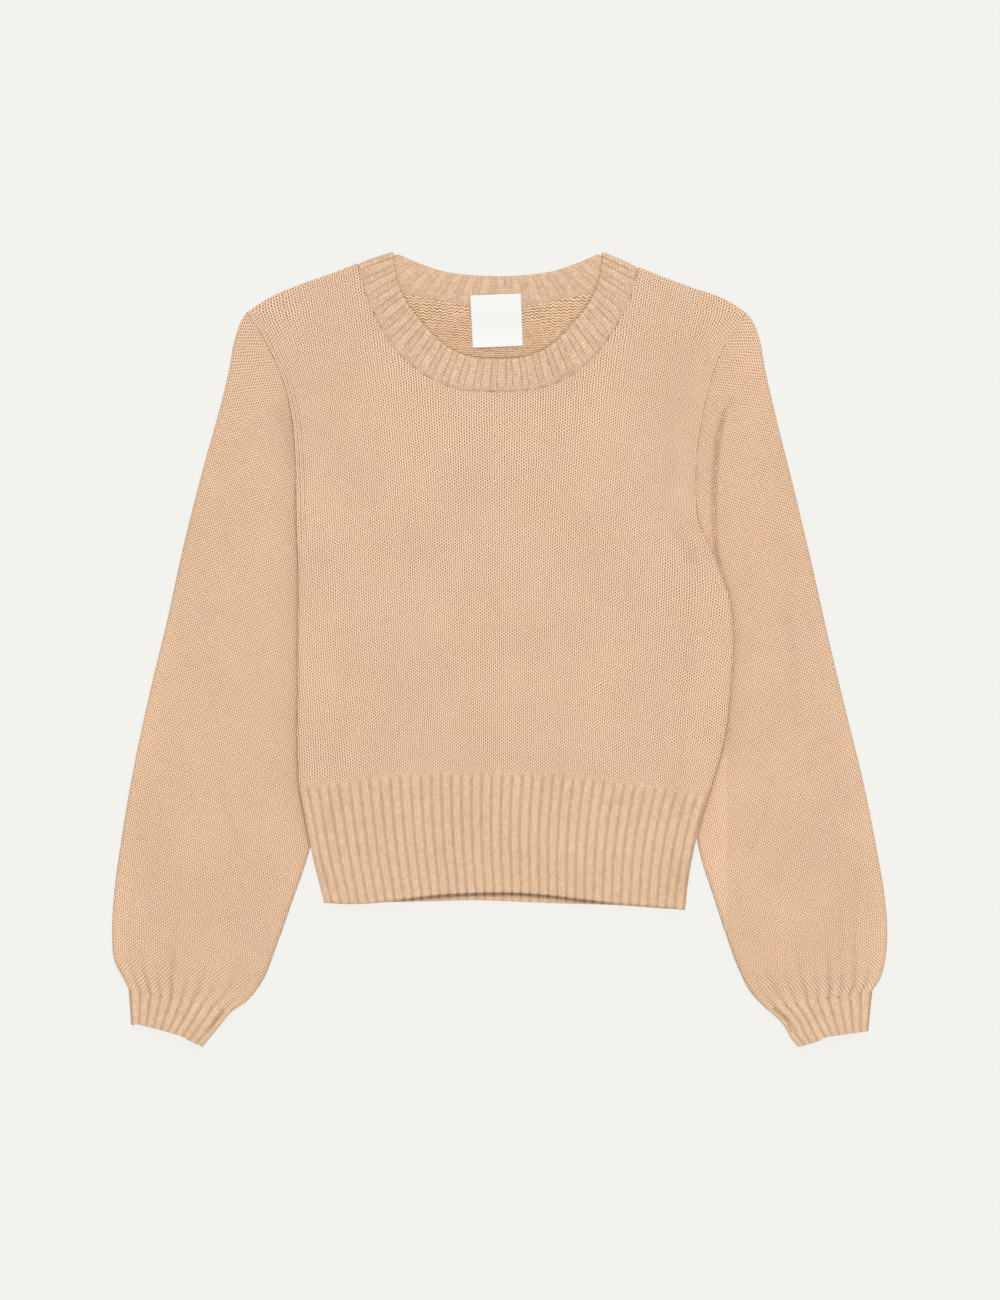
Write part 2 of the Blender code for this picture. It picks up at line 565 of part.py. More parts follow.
# ---- neckband and label -------------------------------------------------------------------
def neckband(name, seam_front, seam_back, look):
    """A doubled rib band: its front half over its back half, turned over at each shoulder."""
    front_mid = BAND_FRONT_LOW + BAND_WALL / 2
    back_mid = BAND_WALL / 2
    middle, half = (front_mid + back_mid) / 2, (front_mid - back_mid) / 2
    across = np.array([0.0, 0.5, 0.94, 1.0])
    thick = np.array([1.0, 1.0, 0.95, 0.5]) * BAND_WALL / 2
    edge_front = whole_neck(NECK_EDGE_FRONT)
    edge_back = whole_neck(NECK_EDGE_BACK)
    stations = []
    for half_name, seam, edge, ribs in (("front", seam_front, edge_front, NECK_RIBS_FRONT),
                                        ("back", seam_back[::-1], edge_back[::-1], NECK_RIBS_BACK)):
        steps = np.array([0.1, 0.2, 0.8, 0.9])
        turn_share = 0.018 if half_name == "front" else 0.03
        shares = (np.arange(ribs)[:, None] + steps).ravel() / ribs
        shares = turn_share + shares * (1 - 2 * turn_share)
        crest = np.tile([0.0, 1.0, 1.0, 0.0], ribs)
        s = evenly(seam, shares)
        e = evenly(edge, shares)
        toward = (e - s) / np.linalg.norm(e - s, axis=1)[:, None]
        near_fold = np.minimum(shares, 1 - shares)
        s = s + toward * (SEAM + 0.1 + 0.4 * np.exp(-near_fold * 25))[:, None]
        if half_name == "back":
            crest = crest * (near_fold > 0.17)
        else:
            crest = crest * (near_fold > 0.04)
        for k in range(len(shares)):
            stations.append((s[k], e[k], half_name, crest[k], 0.0))
        # The turn over the shoulder: three stations from one half's level to the other's.
        sign = 1.0 if half_name == "front" else -1.0
        for angle in (0.25, 0.5, 0.75):
            stations.append((sign, None, half_name, 0.0, angle * np.pi))
    peak = {1.0: edge_front[-1], -1.0: edge_front[0]}
    foot = {1.0: seam_front[-1], -1.0: seam_front[0]}
    sections = []
    for first, second, half_name, crest, angle in stations:
        if second is None:
            sign = first
            s, e = foot[sign], peak[sign]
            along = (e - s) / np.linalg.norm(e - s)
            out = np.array([-along[1], along[0]]) * -sign
            turn = angle if half_name == "front" else np.pi - angle
            base_s = s + along * (0.7 + 2.6 * turn / np.pi) - out * BAND_TURN
            base_e = e - out * BAND_TURN
            path = out * (BAND_TURN - BAND_WALL / 2) * np.sin(turn)
            level = middle + half * np.cos(turn)
            normal = np.array([*(out * np.sin(turn)), np.cos(turn)])
        else:
            base_s, base_e = first, second
            path = np.zeros(2)
            level = front_mid if half_name == "front" else back_mid
            normal = np.array([0.0, 0.0, 1.0 if half_name == "front" else -1.0])
        points = []
        for q, t in zip(across, thick):
            flat = base_s * (1 - q) + base_e * q + path
            rise = crest * NECK_RIB_RISE * (q < 0.99)
            grow = rise if half_name == "front" else 0.0
            points.append(np.array([*flat, level]) + normal * (t + grow))
        for q, t in zip(across[::-1], thick[::-1]):
            flat = base_s * (1 - q) + base_e * q + path
            rise = crest * NECK_RIB_RISE * (q < 0.99)
            grow = rise if half_name == "back" else 0.0
            points.append(np.array([*flat, level]) - normal * (t + grow))
        sections.append(points)
    ring(name, np.array(sections)[::-1], look)


def label(name, look):
    """A thin square lying over the band's seam and the back panel."""
    a, b, c, d = (np.array(p) for p in LABEL_CORNERS)
    upper = []
    for v, low in ((0.0, 0.0), (0.34, 0.0), (0.62, 1.0), (0.95, 1.0), (1.0, 1.0)):
        left = d * (1 - v) + a * v
        right = c * (1 - v) + b * v
        level = WALL + SEAM + low * (BAND_WALL + NECK_RIB_RISE - WALL)
        upper.append([[*(left * (1 - u) + right * u), level + LABEL_WALL]
                      for u in np.linspace(0, 1, 4)])
    upper = np.array(upper)
    lower = upper - [0.0, 0.0, LABEL_WALL]
    slab(name, upper, lower, look)


clear_scene()
KNIT = material("cashmere_knit", (0.73, 0.50, 0.34), 0.95)
RIB = material("cashmere_rib", (0.71, 0.48, 0.32), 0.95)
WOVEN = material("label_satin", (0.90, 0.89, 0.87), 0.6)

front_neck = panel("front_panel", NECK_SEAM_FRONT, 1, 14, KNIT)
back_neck = panel("back_panel", NECK_SEAM_BACK, -1, 8, KNIT)
hem_rib("hem_rib_front", HEM_FRONT, 1, RIB)
hem_rib("hem_rib_back", HEM_BACK, -1, RIB)
sleeve("sleeve_right", -1, KNIT)
sleeve("sleeve_left", 1, KNIT)
cuff("cuff_right", -1, CUFF_END_RIGHT, RIB)
cuff("cuff_left", 1, CUFF_END_LEFT, RIB)
neckband("neckband", front_neck, back_neck, RIB)
label("neck_label", WOVEN)
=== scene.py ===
import json
import math
import bpy
import numpy as np
from mathutils.geometry import delaunay_2d_cdt
from mathutils.kdtree import KDTree
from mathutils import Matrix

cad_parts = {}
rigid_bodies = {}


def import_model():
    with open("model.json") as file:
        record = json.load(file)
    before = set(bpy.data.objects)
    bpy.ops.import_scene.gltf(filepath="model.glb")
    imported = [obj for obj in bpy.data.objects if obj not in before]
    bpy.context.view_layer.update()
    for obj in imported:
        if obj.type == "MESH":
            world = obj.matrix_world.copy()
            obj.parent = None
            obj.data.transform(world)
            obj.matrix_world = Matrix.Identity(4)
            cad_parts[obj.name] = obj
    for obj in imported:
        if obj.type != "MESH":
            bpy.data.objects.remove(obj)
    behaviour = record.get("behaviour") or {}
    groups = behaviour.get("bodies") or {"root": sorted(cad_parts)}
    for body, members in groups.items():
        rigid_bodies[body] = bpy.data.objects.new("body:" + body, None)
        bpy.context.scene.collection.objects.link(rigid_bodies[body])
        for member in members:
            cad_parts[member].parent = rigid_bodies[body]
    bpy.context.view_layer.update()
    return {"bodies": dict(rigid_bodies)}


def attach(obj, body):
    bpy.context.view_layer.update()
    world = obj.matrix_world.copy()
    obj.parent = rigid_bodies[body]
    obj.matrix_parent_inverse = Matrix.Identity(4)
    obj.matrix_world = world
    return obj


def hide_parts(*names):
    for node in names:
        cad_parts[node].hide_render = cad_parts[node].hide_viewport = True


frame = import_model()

# ---- paper, lamp and camera ----------------------------------------------------------------
# The sweater lies on matt white paper under one wide soft lamp, with a smaller lamp beyond the
# neck that picks out the stitches and edges. The camera looks straight down on it.
ROOT = next(iter(frame["bodies"]))
LENS = 85.0
SENSOR = 36.0
# Metres seen from top to bottom, at the height of the cloth.
VIEW_HEIGHT = 1.105
CLOTH_HEIGHT = 0.004
bpy.ops.object.select_all(action="DESELECT")


def linear(code):
    """Linear colour of an sRGB hex value."""
    parts = [int(code[k:k + 2], 16) / 255 for k in (1, 3, 5)]
    return (*[p / 12.92 if p <= 0.04045 else ((p + 0.055) / 1.055) ** 2.4 for p in parts], 1.0)


def add(tree, kind, into=None, **settings):
    """One node with its settings. `into` gives its inputs values, outputs, or nodes, which
    stand for their first output."""
    made = tree.nodes.new(kind)
    for name, value in settings.items():
        setattr(made, name, value)
    for socket, value in (into or {}).items():
        if isinstance(value, bpy.types.Node):
            value = value.outputs[0]
        if isinstance(value, bpy.types.NodeSocket):
            tree.links.new(value, made.inputs[socket])
        else:
            made.inputs[socket].default_value = value
    return made


def fresh(name):
    """An empty material's tree with its output, and the material."""
    look = bpy.data.materials.new(name)
    look.use_nodes = True
    tree = look.node_tree
    tree.nodes.clear()
    return look, tree, add(tree, "ShaderNodeOutputMaterial")


# Uncoated paper board: even, matt, and thin enough to glow a little under studio lamps.
paper, tree, out = fresh("uncoated_paper")
shader = add(tree, "ShaderNodeBsdfPrincipled", {
    "Base Color": linear("#4C4B49"), "Roughness": 0.95,
    "Emission Color": linear("#F3F2EE"), "Emission Strength": 0.89})
tree.links.new(shader.outputs["BSDF"], out.inputs["Surface"])

bpy.ops.mesh.primitive_plane_add(size=9.0, location=(0.0, 0.0, -0.0004))
floor = bpy.context.active_object
floor.name = "paper_floor"
floor.data.materials.append(paper)

camera = bpy.data.cameras.new("camera")
camera.lens = LENS
camera.sensor_width = SENSOR
camera_object = bpy.data.objects.new("camera", camera)
bpy.context.scene.collection.objects.link(camera_object)
camera_object.location = (0.000125, -0.000325, LENS / SENSOR * VIEW_HEIGHT + CLOTH_HEIGHT)
bpy.context.scene.camera = camera_object

# Each lamp's name, place and width in metres, and power in watts. Both face the middle.
for name, (x, y, z), size, power in (("wide_lamp", (0.15, -0.8, 3.36), 3.2, 64.0),
                                     ("top_lamp", (0.1, 4.7, 3.8), 1.6, 158.0)):
    lamp = bpy.data.lights.new(name, "AREA")
    lamp.shape = "DISK"
    lamp.size = size
    lamp.energy = power
    lamp_object = bpy.data.objects.new(name, lamp)
    bpy.context.scene.collection.objects.link(lamp_object)
    lamp_object.location = (x, y, z)
    lamp_object.rotation_euler = (math.atan2(math.hypot(x, y), z), 0.0, math.atan2(x, -y))

world = bpy.data.worlds.new("studio")
world.use_nodes = True
background = world.node_tree.nodes["Background"]
background.inputs["Color"].default_value = linear("#FFFDFA")
background.inputs["Strength"].default_value = 0.46
bpy.context.scene.world = world
bpy.context.scene.view_settings.view_transform = "Standard"
bpy.context.scene.view_settings.look = "None"

# ---- back panel ----------------------------------------------------------------------------
# The back is one piece of cashmere stockinette, its knit side down on the floor, so the purl
# side shows inside the neck. Its sides and shoulders are sewn to the front. Sizes are in mm,
# and side 1 is the wearer's left one, at +x.
WALL = 2.2  # thickness of the knitting
LAYER_GAP = 1.3  # between the body's two layers
BODY_MID = WALL + LAYER_GAP / 2
EDGE_ROUND = 5.0  # how far in from a fold its rounding reaches
EDGE_WALL = 2.0  # how far in from a fold the inner face turns
SEAM = 0.1  # between two layers where they meet
LIFT = 6.0  # how far the body's sides ride up on the sleeves
RAMP = 20.0  # width of the slope up to there
STEP = 1.6  # between points along an edge
CENTRING = np.array([-0.3, 0.95, 0.0])  # from the drawing's middle to the garment's
ARMPIT = {-1: 83.7, 1: 81.2}  # heights of the armpits up the body
# Edges as distance from the middle line and height up the body, hem to shoulder.
RIB_EDGE = {
    -1: [(149.2, -216.3), (156.8, -184.0), (164.0, -149.2), (170.4, -115.2)],
    1: [(157.7, -222.3), (162.8, -181.5), (170.4, -147.5), (178.1, -122.1)]}
SIDE_EDGE = {
    -1: [(170.4, -115.2), (171.7, -77.8), (171.3, -35.3), (171.3, 7.2), (170.8, 45.5),
         (171.3, 83.7)],
    1: [(178.1, -122.1), (190.8, -77.8), (195.9, -35.3), (198.5, 7.2), (194.2, 45.5),
        (180.6, 81.2)]}
ARM_EDGE = {
    -1: [(171.3, 83.7), (172.5, 126.2), (173.4, 160.2), (176.8, 198.5), (184.0, 228.2),
         (195.1, 253.7), (205.3, 271.6), (215.0, 285.8)],
    1: [(180.6, 81.2), (168.6, 107.5), (166.6, 144.9), (171.5, 193.4), (179.8, 228.2),
        (190.8, 257.1), (200.2, 271.4), (209.4, 285.5)]}
SHOULDER = {
    -1: [(215.0, 285.8), (194.2, 299.0), (168.7, 309.8), (139.8, 320.0), (121.1, 327.6)],
    1: [(209.4, 285.5), (194.2, 295.6), (159.4, 308.5), (139.8, 315.8), (118.5, 324.2)]}
SLEEVE_INNER = {
    -1: [(228.2, -309.0), (213.8, -298.8), (201.4, -282.6), (190.8, -256.3), (177.2, -218.0),
         (161.9, -173.0), (149.2, -120.3), (145.8, -56.5), (144.9, -1.3), (149.9, 37.8),
         (157.5, 58.2), (164.0, 71.1), (171.3, 83.7)],
    1: [(226.5, -306.4), (213.8, -292.8), (203.2, -272.4), (192.9, -244.4), (182.3, -212.1),
        (169.6, -171.3), (162.8, -118.6), (166.2, -60.8), (170.4, -5.5), (172.0, 36.1),
        (173.7, 58.2), (176.4, 70.1), (180.6, 81.2)]}
RIB_LINE = [(-170.4, -115.2), (-115.2, -108.8), (-67.6, -104.5), (-20.0, -103.3),
            (16.2, -103.5), (51.9, -104.7), (99.6, -110.9), (147.5, -118.0), (178.1, -122.1)]
NECK_MIDDLE = -1.3
NECK_SEAM_BACK = [(119.8, 327.6), (103.7, 314.1), (80.8, 302.6), (56.1, 297.1),
                  (30.6, 292.0), (0.0, 290.3)]
# Half widths in mm of wales 12, 24 and 36 from the middle one, by height up the body.
WALES = np.array([
    (-225.0, 37.0, 73.5, 110.0), (-107.5, 39.5, 78.0, 118.5), (-77.8, 40.2, 79.5, 121.0),
    (-1.3, 42.7, 85.0, 129.4), (92.2, 45.4, 90.3, 134.1), (185.7, 51.0, 99.5, 142.4),
    (270.7, 54.4, 112.2, 159.0), (330.0, 56.5, 121.5, 171.5)])
# The wale that lies at the panel's edge, by height.
EDGE_WALE = {-1: [(-225.0, 49.0), (-77.8, 49.0), (75.0, 46.0), (330.0, 46.0)],
             1: [(-225.0, 55.0), (-44.0, 55.0), (-1.3, 53.6), (92.0, 47.3), (186.0, 46.0),
                 (330.0, 46.0)]}
COURSE = 2.48  # height of a stitch
STITCH_LEAN = 0.7  # how far a leg climbs across half a wale, in courses
STITCH_RISE = 0.5  # relief of the knit side
PURL_RISE = 0.9  # relief of the purl side
PURL_WAVE = 0.22  # how far a row of its bumps waves, in courses
LAST_WALE = 60  # wales are known from the middle one to this one on each side


def lengths(points):
    """How far along a line each of its points lies."""
    return np.r_[0.0, np.cumsum(np.linalg.norm(np.diff(points, axis=0), axis=1))]


def curve(table, t):
    """Points of a smooth curve through the table, t from 0 to 1 by the chord's length."""
    p = np.asarray(table, float)
    chord = lengths(p)
    slope = np.gradient(p, chord, axis=0)
    at = np.clip(np.asarray(t, float), 0.0, 1.0) * chord[-1]
    k = np.clip(np.searchsorted(chord, at, side="right") - 1, 0, len(p) - 2)
    step = (chord[k + 1] - chord[k])[..., None]
    f = ((at - chord[k]) / (chord[k + 1] - chord[k]))[..., None]
    value = (2 * f**3 - 3 * f**2 + 1) * p[k] + (3 * f**2 - 2 * f**3) * p[k + 1]
    turn = (f**3 - 2 * f**2 + f) * slope[k] + (f**3 - f**2) * slope[k + 1]
    return value + step * turn


def ease(x):
    """A soft step from 0 to 1."""
    x = np.clip(x, 0.0, 1.0)
    return x * x * (3.0 - 2.0 * x)


def spaced(points, gap):
    """The same line with its points an even gap apart."""
    far = lengths(points)
    at = np.linspace(0.0, far[-1], max(2, int(round(far[-1] / gap)) + 1))
    return np.stack([np.interp(at, far, points[:, k]) for k in (0, 1)], axis=1)


def drawn(table, gap, side=1):
    """A curve through a table as points, mirrored to one side."""
    return spaced(curve(table, np.linspace(0, 1, 500)) * [side, 1.0], gap)


def loop_of(*runs):
    """One closed loop from runs that each start where the last one ends."""
    return np.concatenate([run[:-1] for run in runs])


def closed(loop):
    """A loop with its first point again at its end."""
    return np.vstack([loop, loop[:1]])


def whole_neck(half_table):
    """A neck curve from -x to +x, from its half table."""
    half = curve(half_table, np.linspace(0, 1, 160))
    middle = np.array([NECK_MIDDLE, 0.0])
    whole = np.concatenate([half * [-1.0, 1.0] + middle, half[::-1][1:] + middle])
    # The left shoulder has slipped down a little beside the band.
    whole[:, 1] -= 3.4 * ease((whole[:, 0] - 92.0) / 26.0)
    return whole


FLANK = {side: np.concatenate([drawn(t[side], 1.0) for t in (RIB_EDGE, SIDE_EDGE, ARM_EDGE)])
         for side in (-1, 1)}


def edge_x(side, y):
    """How far from the middle line the body's edge is at a height."""
    return np.interp(y, FLANK[side][:, 1], FLANK[side][:, 0])


def lift(x, y):
    """The body's rise where its sides lie on the sleeves."""
    total = np.zeros_like(x)
    for side in (-1, 1):
        armpit = ARMPIT[side]
        edge = edge_x(side, y)
        inner = curve(SLEEVE_INNER[side], np.linspace(0, 1, 300))
        above = edge - 8.0 * (1 - ease((y - armpit - 22.0) / 18.0))
        below = np.minimum(np.interp(y, inner[:, 1], inner[:, 0]),
                           edge - 8.0 * ease((y - armpit + 40.0) / 40.0))
        reach = np.maximum(edge - np.where(y > armpit, above, below) + 1.5, EDGE_ROUND + 2.5)
        held = (1 - ease((y - armpit - 25.0) / 42.0)) * ease((y + 208.0) / 34.0)
        total += LIFT * held * ease((reach + RAMP - (edge - side * x)) / RAMP)
    return total


class Guide:
    """Nearest points on some lines, with the direction in from them."""

    def __init__(self, *lines):
        fine = [np.vstack([
            np.linspace(a, b, max(1, math.ceil(math.dist(a, b) / 0.5)), endpoint=False)
            for a, b in zip(line[:-1], line[1:])] + [line[-1:]]) for line in lines]
        self.points = np.concatenate(fine)
        tangent = np.concatenate([np.gradient(line, axis=0) for line in fine])
        tangent /= np.maximum(np.linalg.norm(tangent, axis=1), 1e-9)[:, None]
        self.inward = np.stack([-tangent[:, 1], tangent[:, 0]], axis=1)
        self.tree = KDTree(len(self.points))
        for k, (x, y) in enumerate(self.points):
            self.tree.insert((x, y, 0.0), k)
        self.tree.balance()

    def near(self, points):
        """Distance to the lines and the direction in from them, for each point."""
        found = np.array([self.tree.find((x, y, 0.0))[1] for x, y in points])
        return np.linalg.norm(points - self.points[found], axis=1), self.inward[found]


def rounded(away, run=EDGE_ROUND):
    """A quarter of an ellipse from 0 at an edge to 1."""
    f = np.clip(away / run, 0.0, 1.0)
    return np.sqrt(np.maximum(1 - (1 - f) ** 2, 0.0))


def drawn_in(points, fold, amount):
    """Points moved in from the folds, all of the amount at a fold and none past its curve."""
    away, inward = fold.near(points)
    return points + inward * (amount * np.clip(1 - away / EDGE_ROUND, 0, 1))[:, None]


def wale_table():
    """Place across the body of each wale on both sides of the middle one, by height."""
    heights = np.linspace(-225.0, 335.0, 281)
    known = curve(WALES, np.linspace(0, 1, 400))
    columns = [np.interp(heights, known[:, 0], known[:, k]) for k in (1, 2, 3)]
    table = np.zeros((len(heights), 2 * LAST_WALE + 1))
    for j, y in enumerate(heights):
        for side in (-1, 1):
            last = np.interp(y, *np.array(EDGE_WALE[side]).T)
            knots = np.array([0.0, 12.0, 24.0, 36.0, last])
            at = np.array([0.0, columns[0][j], columns[1][j], columns[2][j], edge_x(side, y)])
            fine = curve(np.stack([knots, at], axis=1), np.linspace(0, 1, 120))
            s = np.arange(0, LAST_WALE + 1)
            x = np.interp(s, fine[:, 0], fine[:, 1])
            pitch = (at[4] - at[3]) / (last - 36.0)
            x = np.where(s > last, at[4] + (s - last) * pitch, x)
            table[j, LAST_WALE + side * s] = side * x
    return heights, table


WALE_HEIGHTS, WALE_TABLE = wale_table()


def wale_x(s, y):
    """Where across the body wale s runs at this height."""
    j = np.clip((y - WALE_HEIGHTS[0]) / 2.0, 0, len(WALE_HEIGHTS) - 1.001)
    i = np.clip(s + LAST_WALE, 0, 2 * LAST_WALE - 0.001)
    j0, i0 = j.astype(int), i.astype(int)
    fj, fi = j - j0, i - i0
    return ((1 - fj) * ((1 - fi) * WALE_TABLE[j0, i0] + fi * WALE_TABLE[j0, i0 + 1])
            + fj * ((1 - fi) * WALE_TABLE[j0 + 1, i0] + fi * WALE_TABLE[j0 + 1, i0 + 1]))


def beyond(x):
    """Twice how far x is over 0, with a soft corner 20 mm wide."""
    return x + np.sqrt(x**2 + 400.0)


def course_of(x, y):
    """Which course passes a point: they arch with the rib, and droop by armholes and neck."""
    arch = np.interp(x, *drawn(RIB_LINE, 2.0).T)
    droop = 0.075 * ease((y - 100.0) / 90.0) * beyond(np.abs(x) - 118.0)
    droop = droop + 0.07 * ease((y - 215.0) / 70.0) * beyond(120.0 - np.abs(x - NECK_MIDDLE))
    return (y - arch + droop) / COURSE


def body_stitch(points):
    """Wale and course of points on the body."""
    x, y = points.T
    s = x / 3.6
    # Each round comes closer to the wale whose place across the body is the point's own.
    for _ in range(8):
        now = wale_x(s, y)
        s = s + (x - now) / np.maximum(wale_x(s + 0.5, y) - wale_x(s - 0.5, y), 1.0)
    return np.stack([s, course_of(x, y)], axis=1)


def body_place(s, t):
    """Plan points of wales and courses on the body."""
    y = -110.0 + COURSE * t
    for _ in range(7):
        x = wale_x(s, y)
        y = y + COURSE * (t - course_of(x, y))
    return np.stack([wale_x(s, y), y], axis=-1)


def stitch_lines(place, wales, courses):
    """Lines up a knitted face: in the grooves one point a stitch, on the legs two."""
    lines = []
    s_list = np.arange(wales[0], wales[1])
    for share, start, step in ((0.0, STITCH_LEAN, 1.0), (0.25, STITCH_LEAN / 2, 0.5),
                               (0.5, 0.0, 1.0), (0.75, STITCH_LEAN / 2, 0.5)):
        t_list = np.arange(courses[0], courses[1], step) + start
        s, t = np.meshgrid(s_list + share, t_list, indexing="ij")
        lines.append((place(s, t), np.stack([s, t], axis=-1)))
    return lines


def chance(wale, course):
    """A number from 0 to 1 for each stitch."""
    mixed = np.sin(wale * 12.99 + course * 78.23) * 43758.5
    return mixed - np.floor(mixed)


def stitch_height(st):
    """Relief of the knit side: two legs to a stitch, lowest where the stitches meet."""
    s, t = st.T
    q = np.abs(s % 1.0 - 0.5) * 2
    leg = 0.5 - 0.5 * np.cos(2 * np.pi * (t - STITCH_LEAN * q))
    across = np.sin(np.pi * q)
    size = 0.88 + 0.24 * chance(np.floor(s), np.floor(t - STITCH_LEAN * q))
    form = size * (across * (0.55 + 0.45 * leg) + (1 - across) * 0.2 * leg)
    return STITCH_RISE * (form - 0.5)


def purl_height(st):
    """Relief of the purl side: rows of bumps that wave from wale to wale."""
    s, t = st.T
    wave = PURL_WAVE * np.cos(2 * np.pi * s)
    return PURL_RISE * (0.5 + 0.5 * np.cos(2 * np.pi * (t - wave))) - PURL_RISE / 2


def within(points, loop):
    """Which plan points lie inside a closed loop."""
    x, y = points.T
    inside = np.zeros(len(points), bool)
    after = np.roll(loop, -1, axis=0)
    for (ax, ay), (bx, by) in zip(loop, after):
        if ay != by:
            hit = (ay > y) != (by > y)
            inside ^= hit & (x < ax + (y - ay) / (by - ay) * (bx - ax))
    return inside


def filled(loop, loop_st, lines, clear=0.55):
    """Plan points, stitch places, room to the edge and triangles of a loop with lines in it."""
    edge = Guide(closed(loop))
    points, st, room = [loop], [loop_st], [np.zeros(len(loop))]
    count = len(loop)
    joins = [np.stack([np.arange(count), (np.arange(count) + 1) % count], axis=1)]
    for plan, places in lines:
        shape = plan.shape[:2]
        flat = plan.reshape(-1, 2)
        far = np.zeros(len(flat))
        inside = np.flatnonzero(within(flat, loop))
        if len(inside):
            far[inside] = edge.near(flat[inside])[0]
        keep = far > clear
        number = np.full(len(flat), -1)
        number[keep] = count + np.arange(keep.sum())
        count += int(keep.sum())
        number, grid_far = number.reshape(shape), far.reshape(shape)
        gap = np.linalg.norm(plan[:, 1:] - plan[:, :-1], axis=2)
        both = (number[:, 1:] >= 0) & (number[:, :-1] >= 0)
        both &= grid_far[:, 1:] + grid_far[:, :-1] > gap * 1.1
        joins.append(np.stack([number[:, :-1][both], number[:, 1:][both]], axis=1))
        points.append(flat[keep])
        st.append(places.reshape(-1, 2)[keep])
        room.append(far[keep])
    points, st, room = np.concatenate(points), np.concatenate(st), np.concatenate(room)
    made = delaunay_2d_cdt(points.tolist(), np.concatenate(joins).tolist(),
                           [list(range(len(loop)))], 1, 1e-6, False)
    if len(made[0]) != len(points):
        raise ValueError(f"{len(points)} points gave {len(made[0])}")
    faces = np.array(made[2])
    faces = faces[within(points[faces].mean(axis=1), loop)]
    a, b, c = points[faces[:, 0]], points[faces[:, 1]], points[faces[:, 2]]
    area = (b - a)[:, 0] * (c - a)[:, 1] - (b - a)[:, 1] * (c - a)[:, 0]
    faces[area < 0] = faces[area < 0][:, ::-1]
    return points, st, room, faces[np.abs(area) > 1e-6]


def coarse(loop, gap=9.0, rings=(1.3, 2.6, 4.8)):
    """Lines for a plain face: rings of points along its edge and an even field inside."""
    edge = Guide(closed(loop))
    fine = spaced(closed(loop), 1.5)[:-1]
    inward = edge.near(fine)[1]
    made = []
    for k, ring in enumerate(rings):
        spots = (fine + inward * ring)[::k + 2]
        ok = within(spots, loop)
        ok[ok] = edge.near(spots[ok])[0] > ring * 0.93
        made.append(spots[ok])
    low, high = loop.min(0), loop.max(0)
    x, y = np.meshgrid(np.arange(low[0], high[0], gap), np.arange(low[1], high[1], gap))
    x = x + (np.arange(x.shape[0])[:, None] % 2) * gap / 2
    spots = np.stack([x.ravel(), y.ravel()], axis=1)
    spots = spots[within(spots, loop)]
    made.append(spots[edge.near(spots)[0] > rings[-1] + gap * 0.4])
    return np.concatenate(made)


def skin(loop, stitch_of, lines, height, down=False):
    """One face of a cloth: points in space, stitch places, faces, and its loop's points."""
    plan, st, room, faces = filled(loop, stitch_of(loop), lines)
    points = np.column_stack([plan, height(plan, st, room)])
    return points, st, faces[:, ::-1] if down else faces, points[:len(loop)]


def plain(spots, stitch_of):
    """Single points as lines for a face."""
    return [(spots[:, None, :], stitch_of(spots)[:, None, :])]


def plain_skin(loop, stitch_of, height, down=False, **spacing):
    """A face of a cloth that carries no stitches of its own."""
    return skin(loop, stitch_of, plain(coarse(loop, **spacing), stitch_of), height, down)


def rim(low, high, st, open_at=None):
    """The wall between the loops of a lower and an upper face, or where it is open."""
    count = len(low)
    k = np.arange(count) if open_at is None else np.flatnonzero(open_at)
    after = (k + 1) % count
    faces = np.stack([k, after, after + count, k + count], axis=1)
    return np.concatenate([low, high]), np.concatenate([st, st]), faces, None


def sew(name, patches, looks, mirror=False, shade=None):
    """One mesh from patches that share their edges: (patch, number of its material) each."""
    start = 0
    points, places, corners, uvs, sizes, slots = [], [], [], [], [], []
    for (spots, st, faces, _), slot_number in patches:
        points.append(spots)
        places.append(st)
        corners.append((faces + start).ravel())
        uvs.append(st[faces.ravel()])
        sizes.append(np.full(len(faces), faces.shape[1]))
        slots.append(np.full(len(faces), slot_number))
        start += len(spots)
    points, corners, uvs = np.concatenate(points), np.concatenate(corners), np.concatenate(uvs)
    places = np.concatenate(places)
    sizes, slots = np.concatenate(sizes), np.concatenate(slots)
    _, first, same = np.unique(np.round(points, 3), axis=0, return_index=True,
                               return_inverse=True)
    corners = same.reshape(-1)[corners]
    points = points[first]
    # Each point's painted shade and light, which the cloth's materials multiply into its colour.
    deep = np.ones(len(points)) if shade is None else shade(points, places[first])
    points = points + CENTRING * ([-1, 1, 1] if mirror else [1, 1, 1])
    starts = np.r_[0, np.cumsum(sizes)[:-1]]
    mesh = bpy.data.meshes.new(name)
    mesh.vertices.add(len(points))
    mesh.loops.add(len(corners))
    mesh.polygons.add(len(sizes))
    if mirror:
        points = points * [-1, 1, 1]
        order = np.concatenate([start + np.arange(size)[::-1]
                                for start, size in zip(starts, sizes)])
        corners, uvs = corners[order], uvs[order]
    mesh.vertices.foreach_set("co", (points * 0.001).ravel())
    mesh.loops.foreach_set("vertex_index", corners)
    mesh.polygons.foreach_set("loop_start", starts)
    mesh.polygons.foreach_set("material_index", slots)
    mesh.update(calc_edges=True)
    layer = mesh.uv_layers.new(name="stitches")
    layer.data.foreach_set("uv", uvs.ravel())
    mesh.attributes.new("painted_shade_and_light", "FLOAT", "POINT").data.foreach_set("value", deep)
    mesh.validate()
    mesh.shade_smooth()
    mesh.set_sharp_from_angle(angle=math.radians(80))
    for look in looks:
        mesh.materials.append(look)
    made = bpy.data.objects.new(name, mesh)
    bpy.context.scene.collection.objects.link(made)
    return made


def square_metres(loop):
    """Flat area inside a loop given in mm."""
    x, y = np.asarray(loop).T
    return abs(x @ np.roll(y, -1) - y @ np.roll(x, -1)) / 2e6


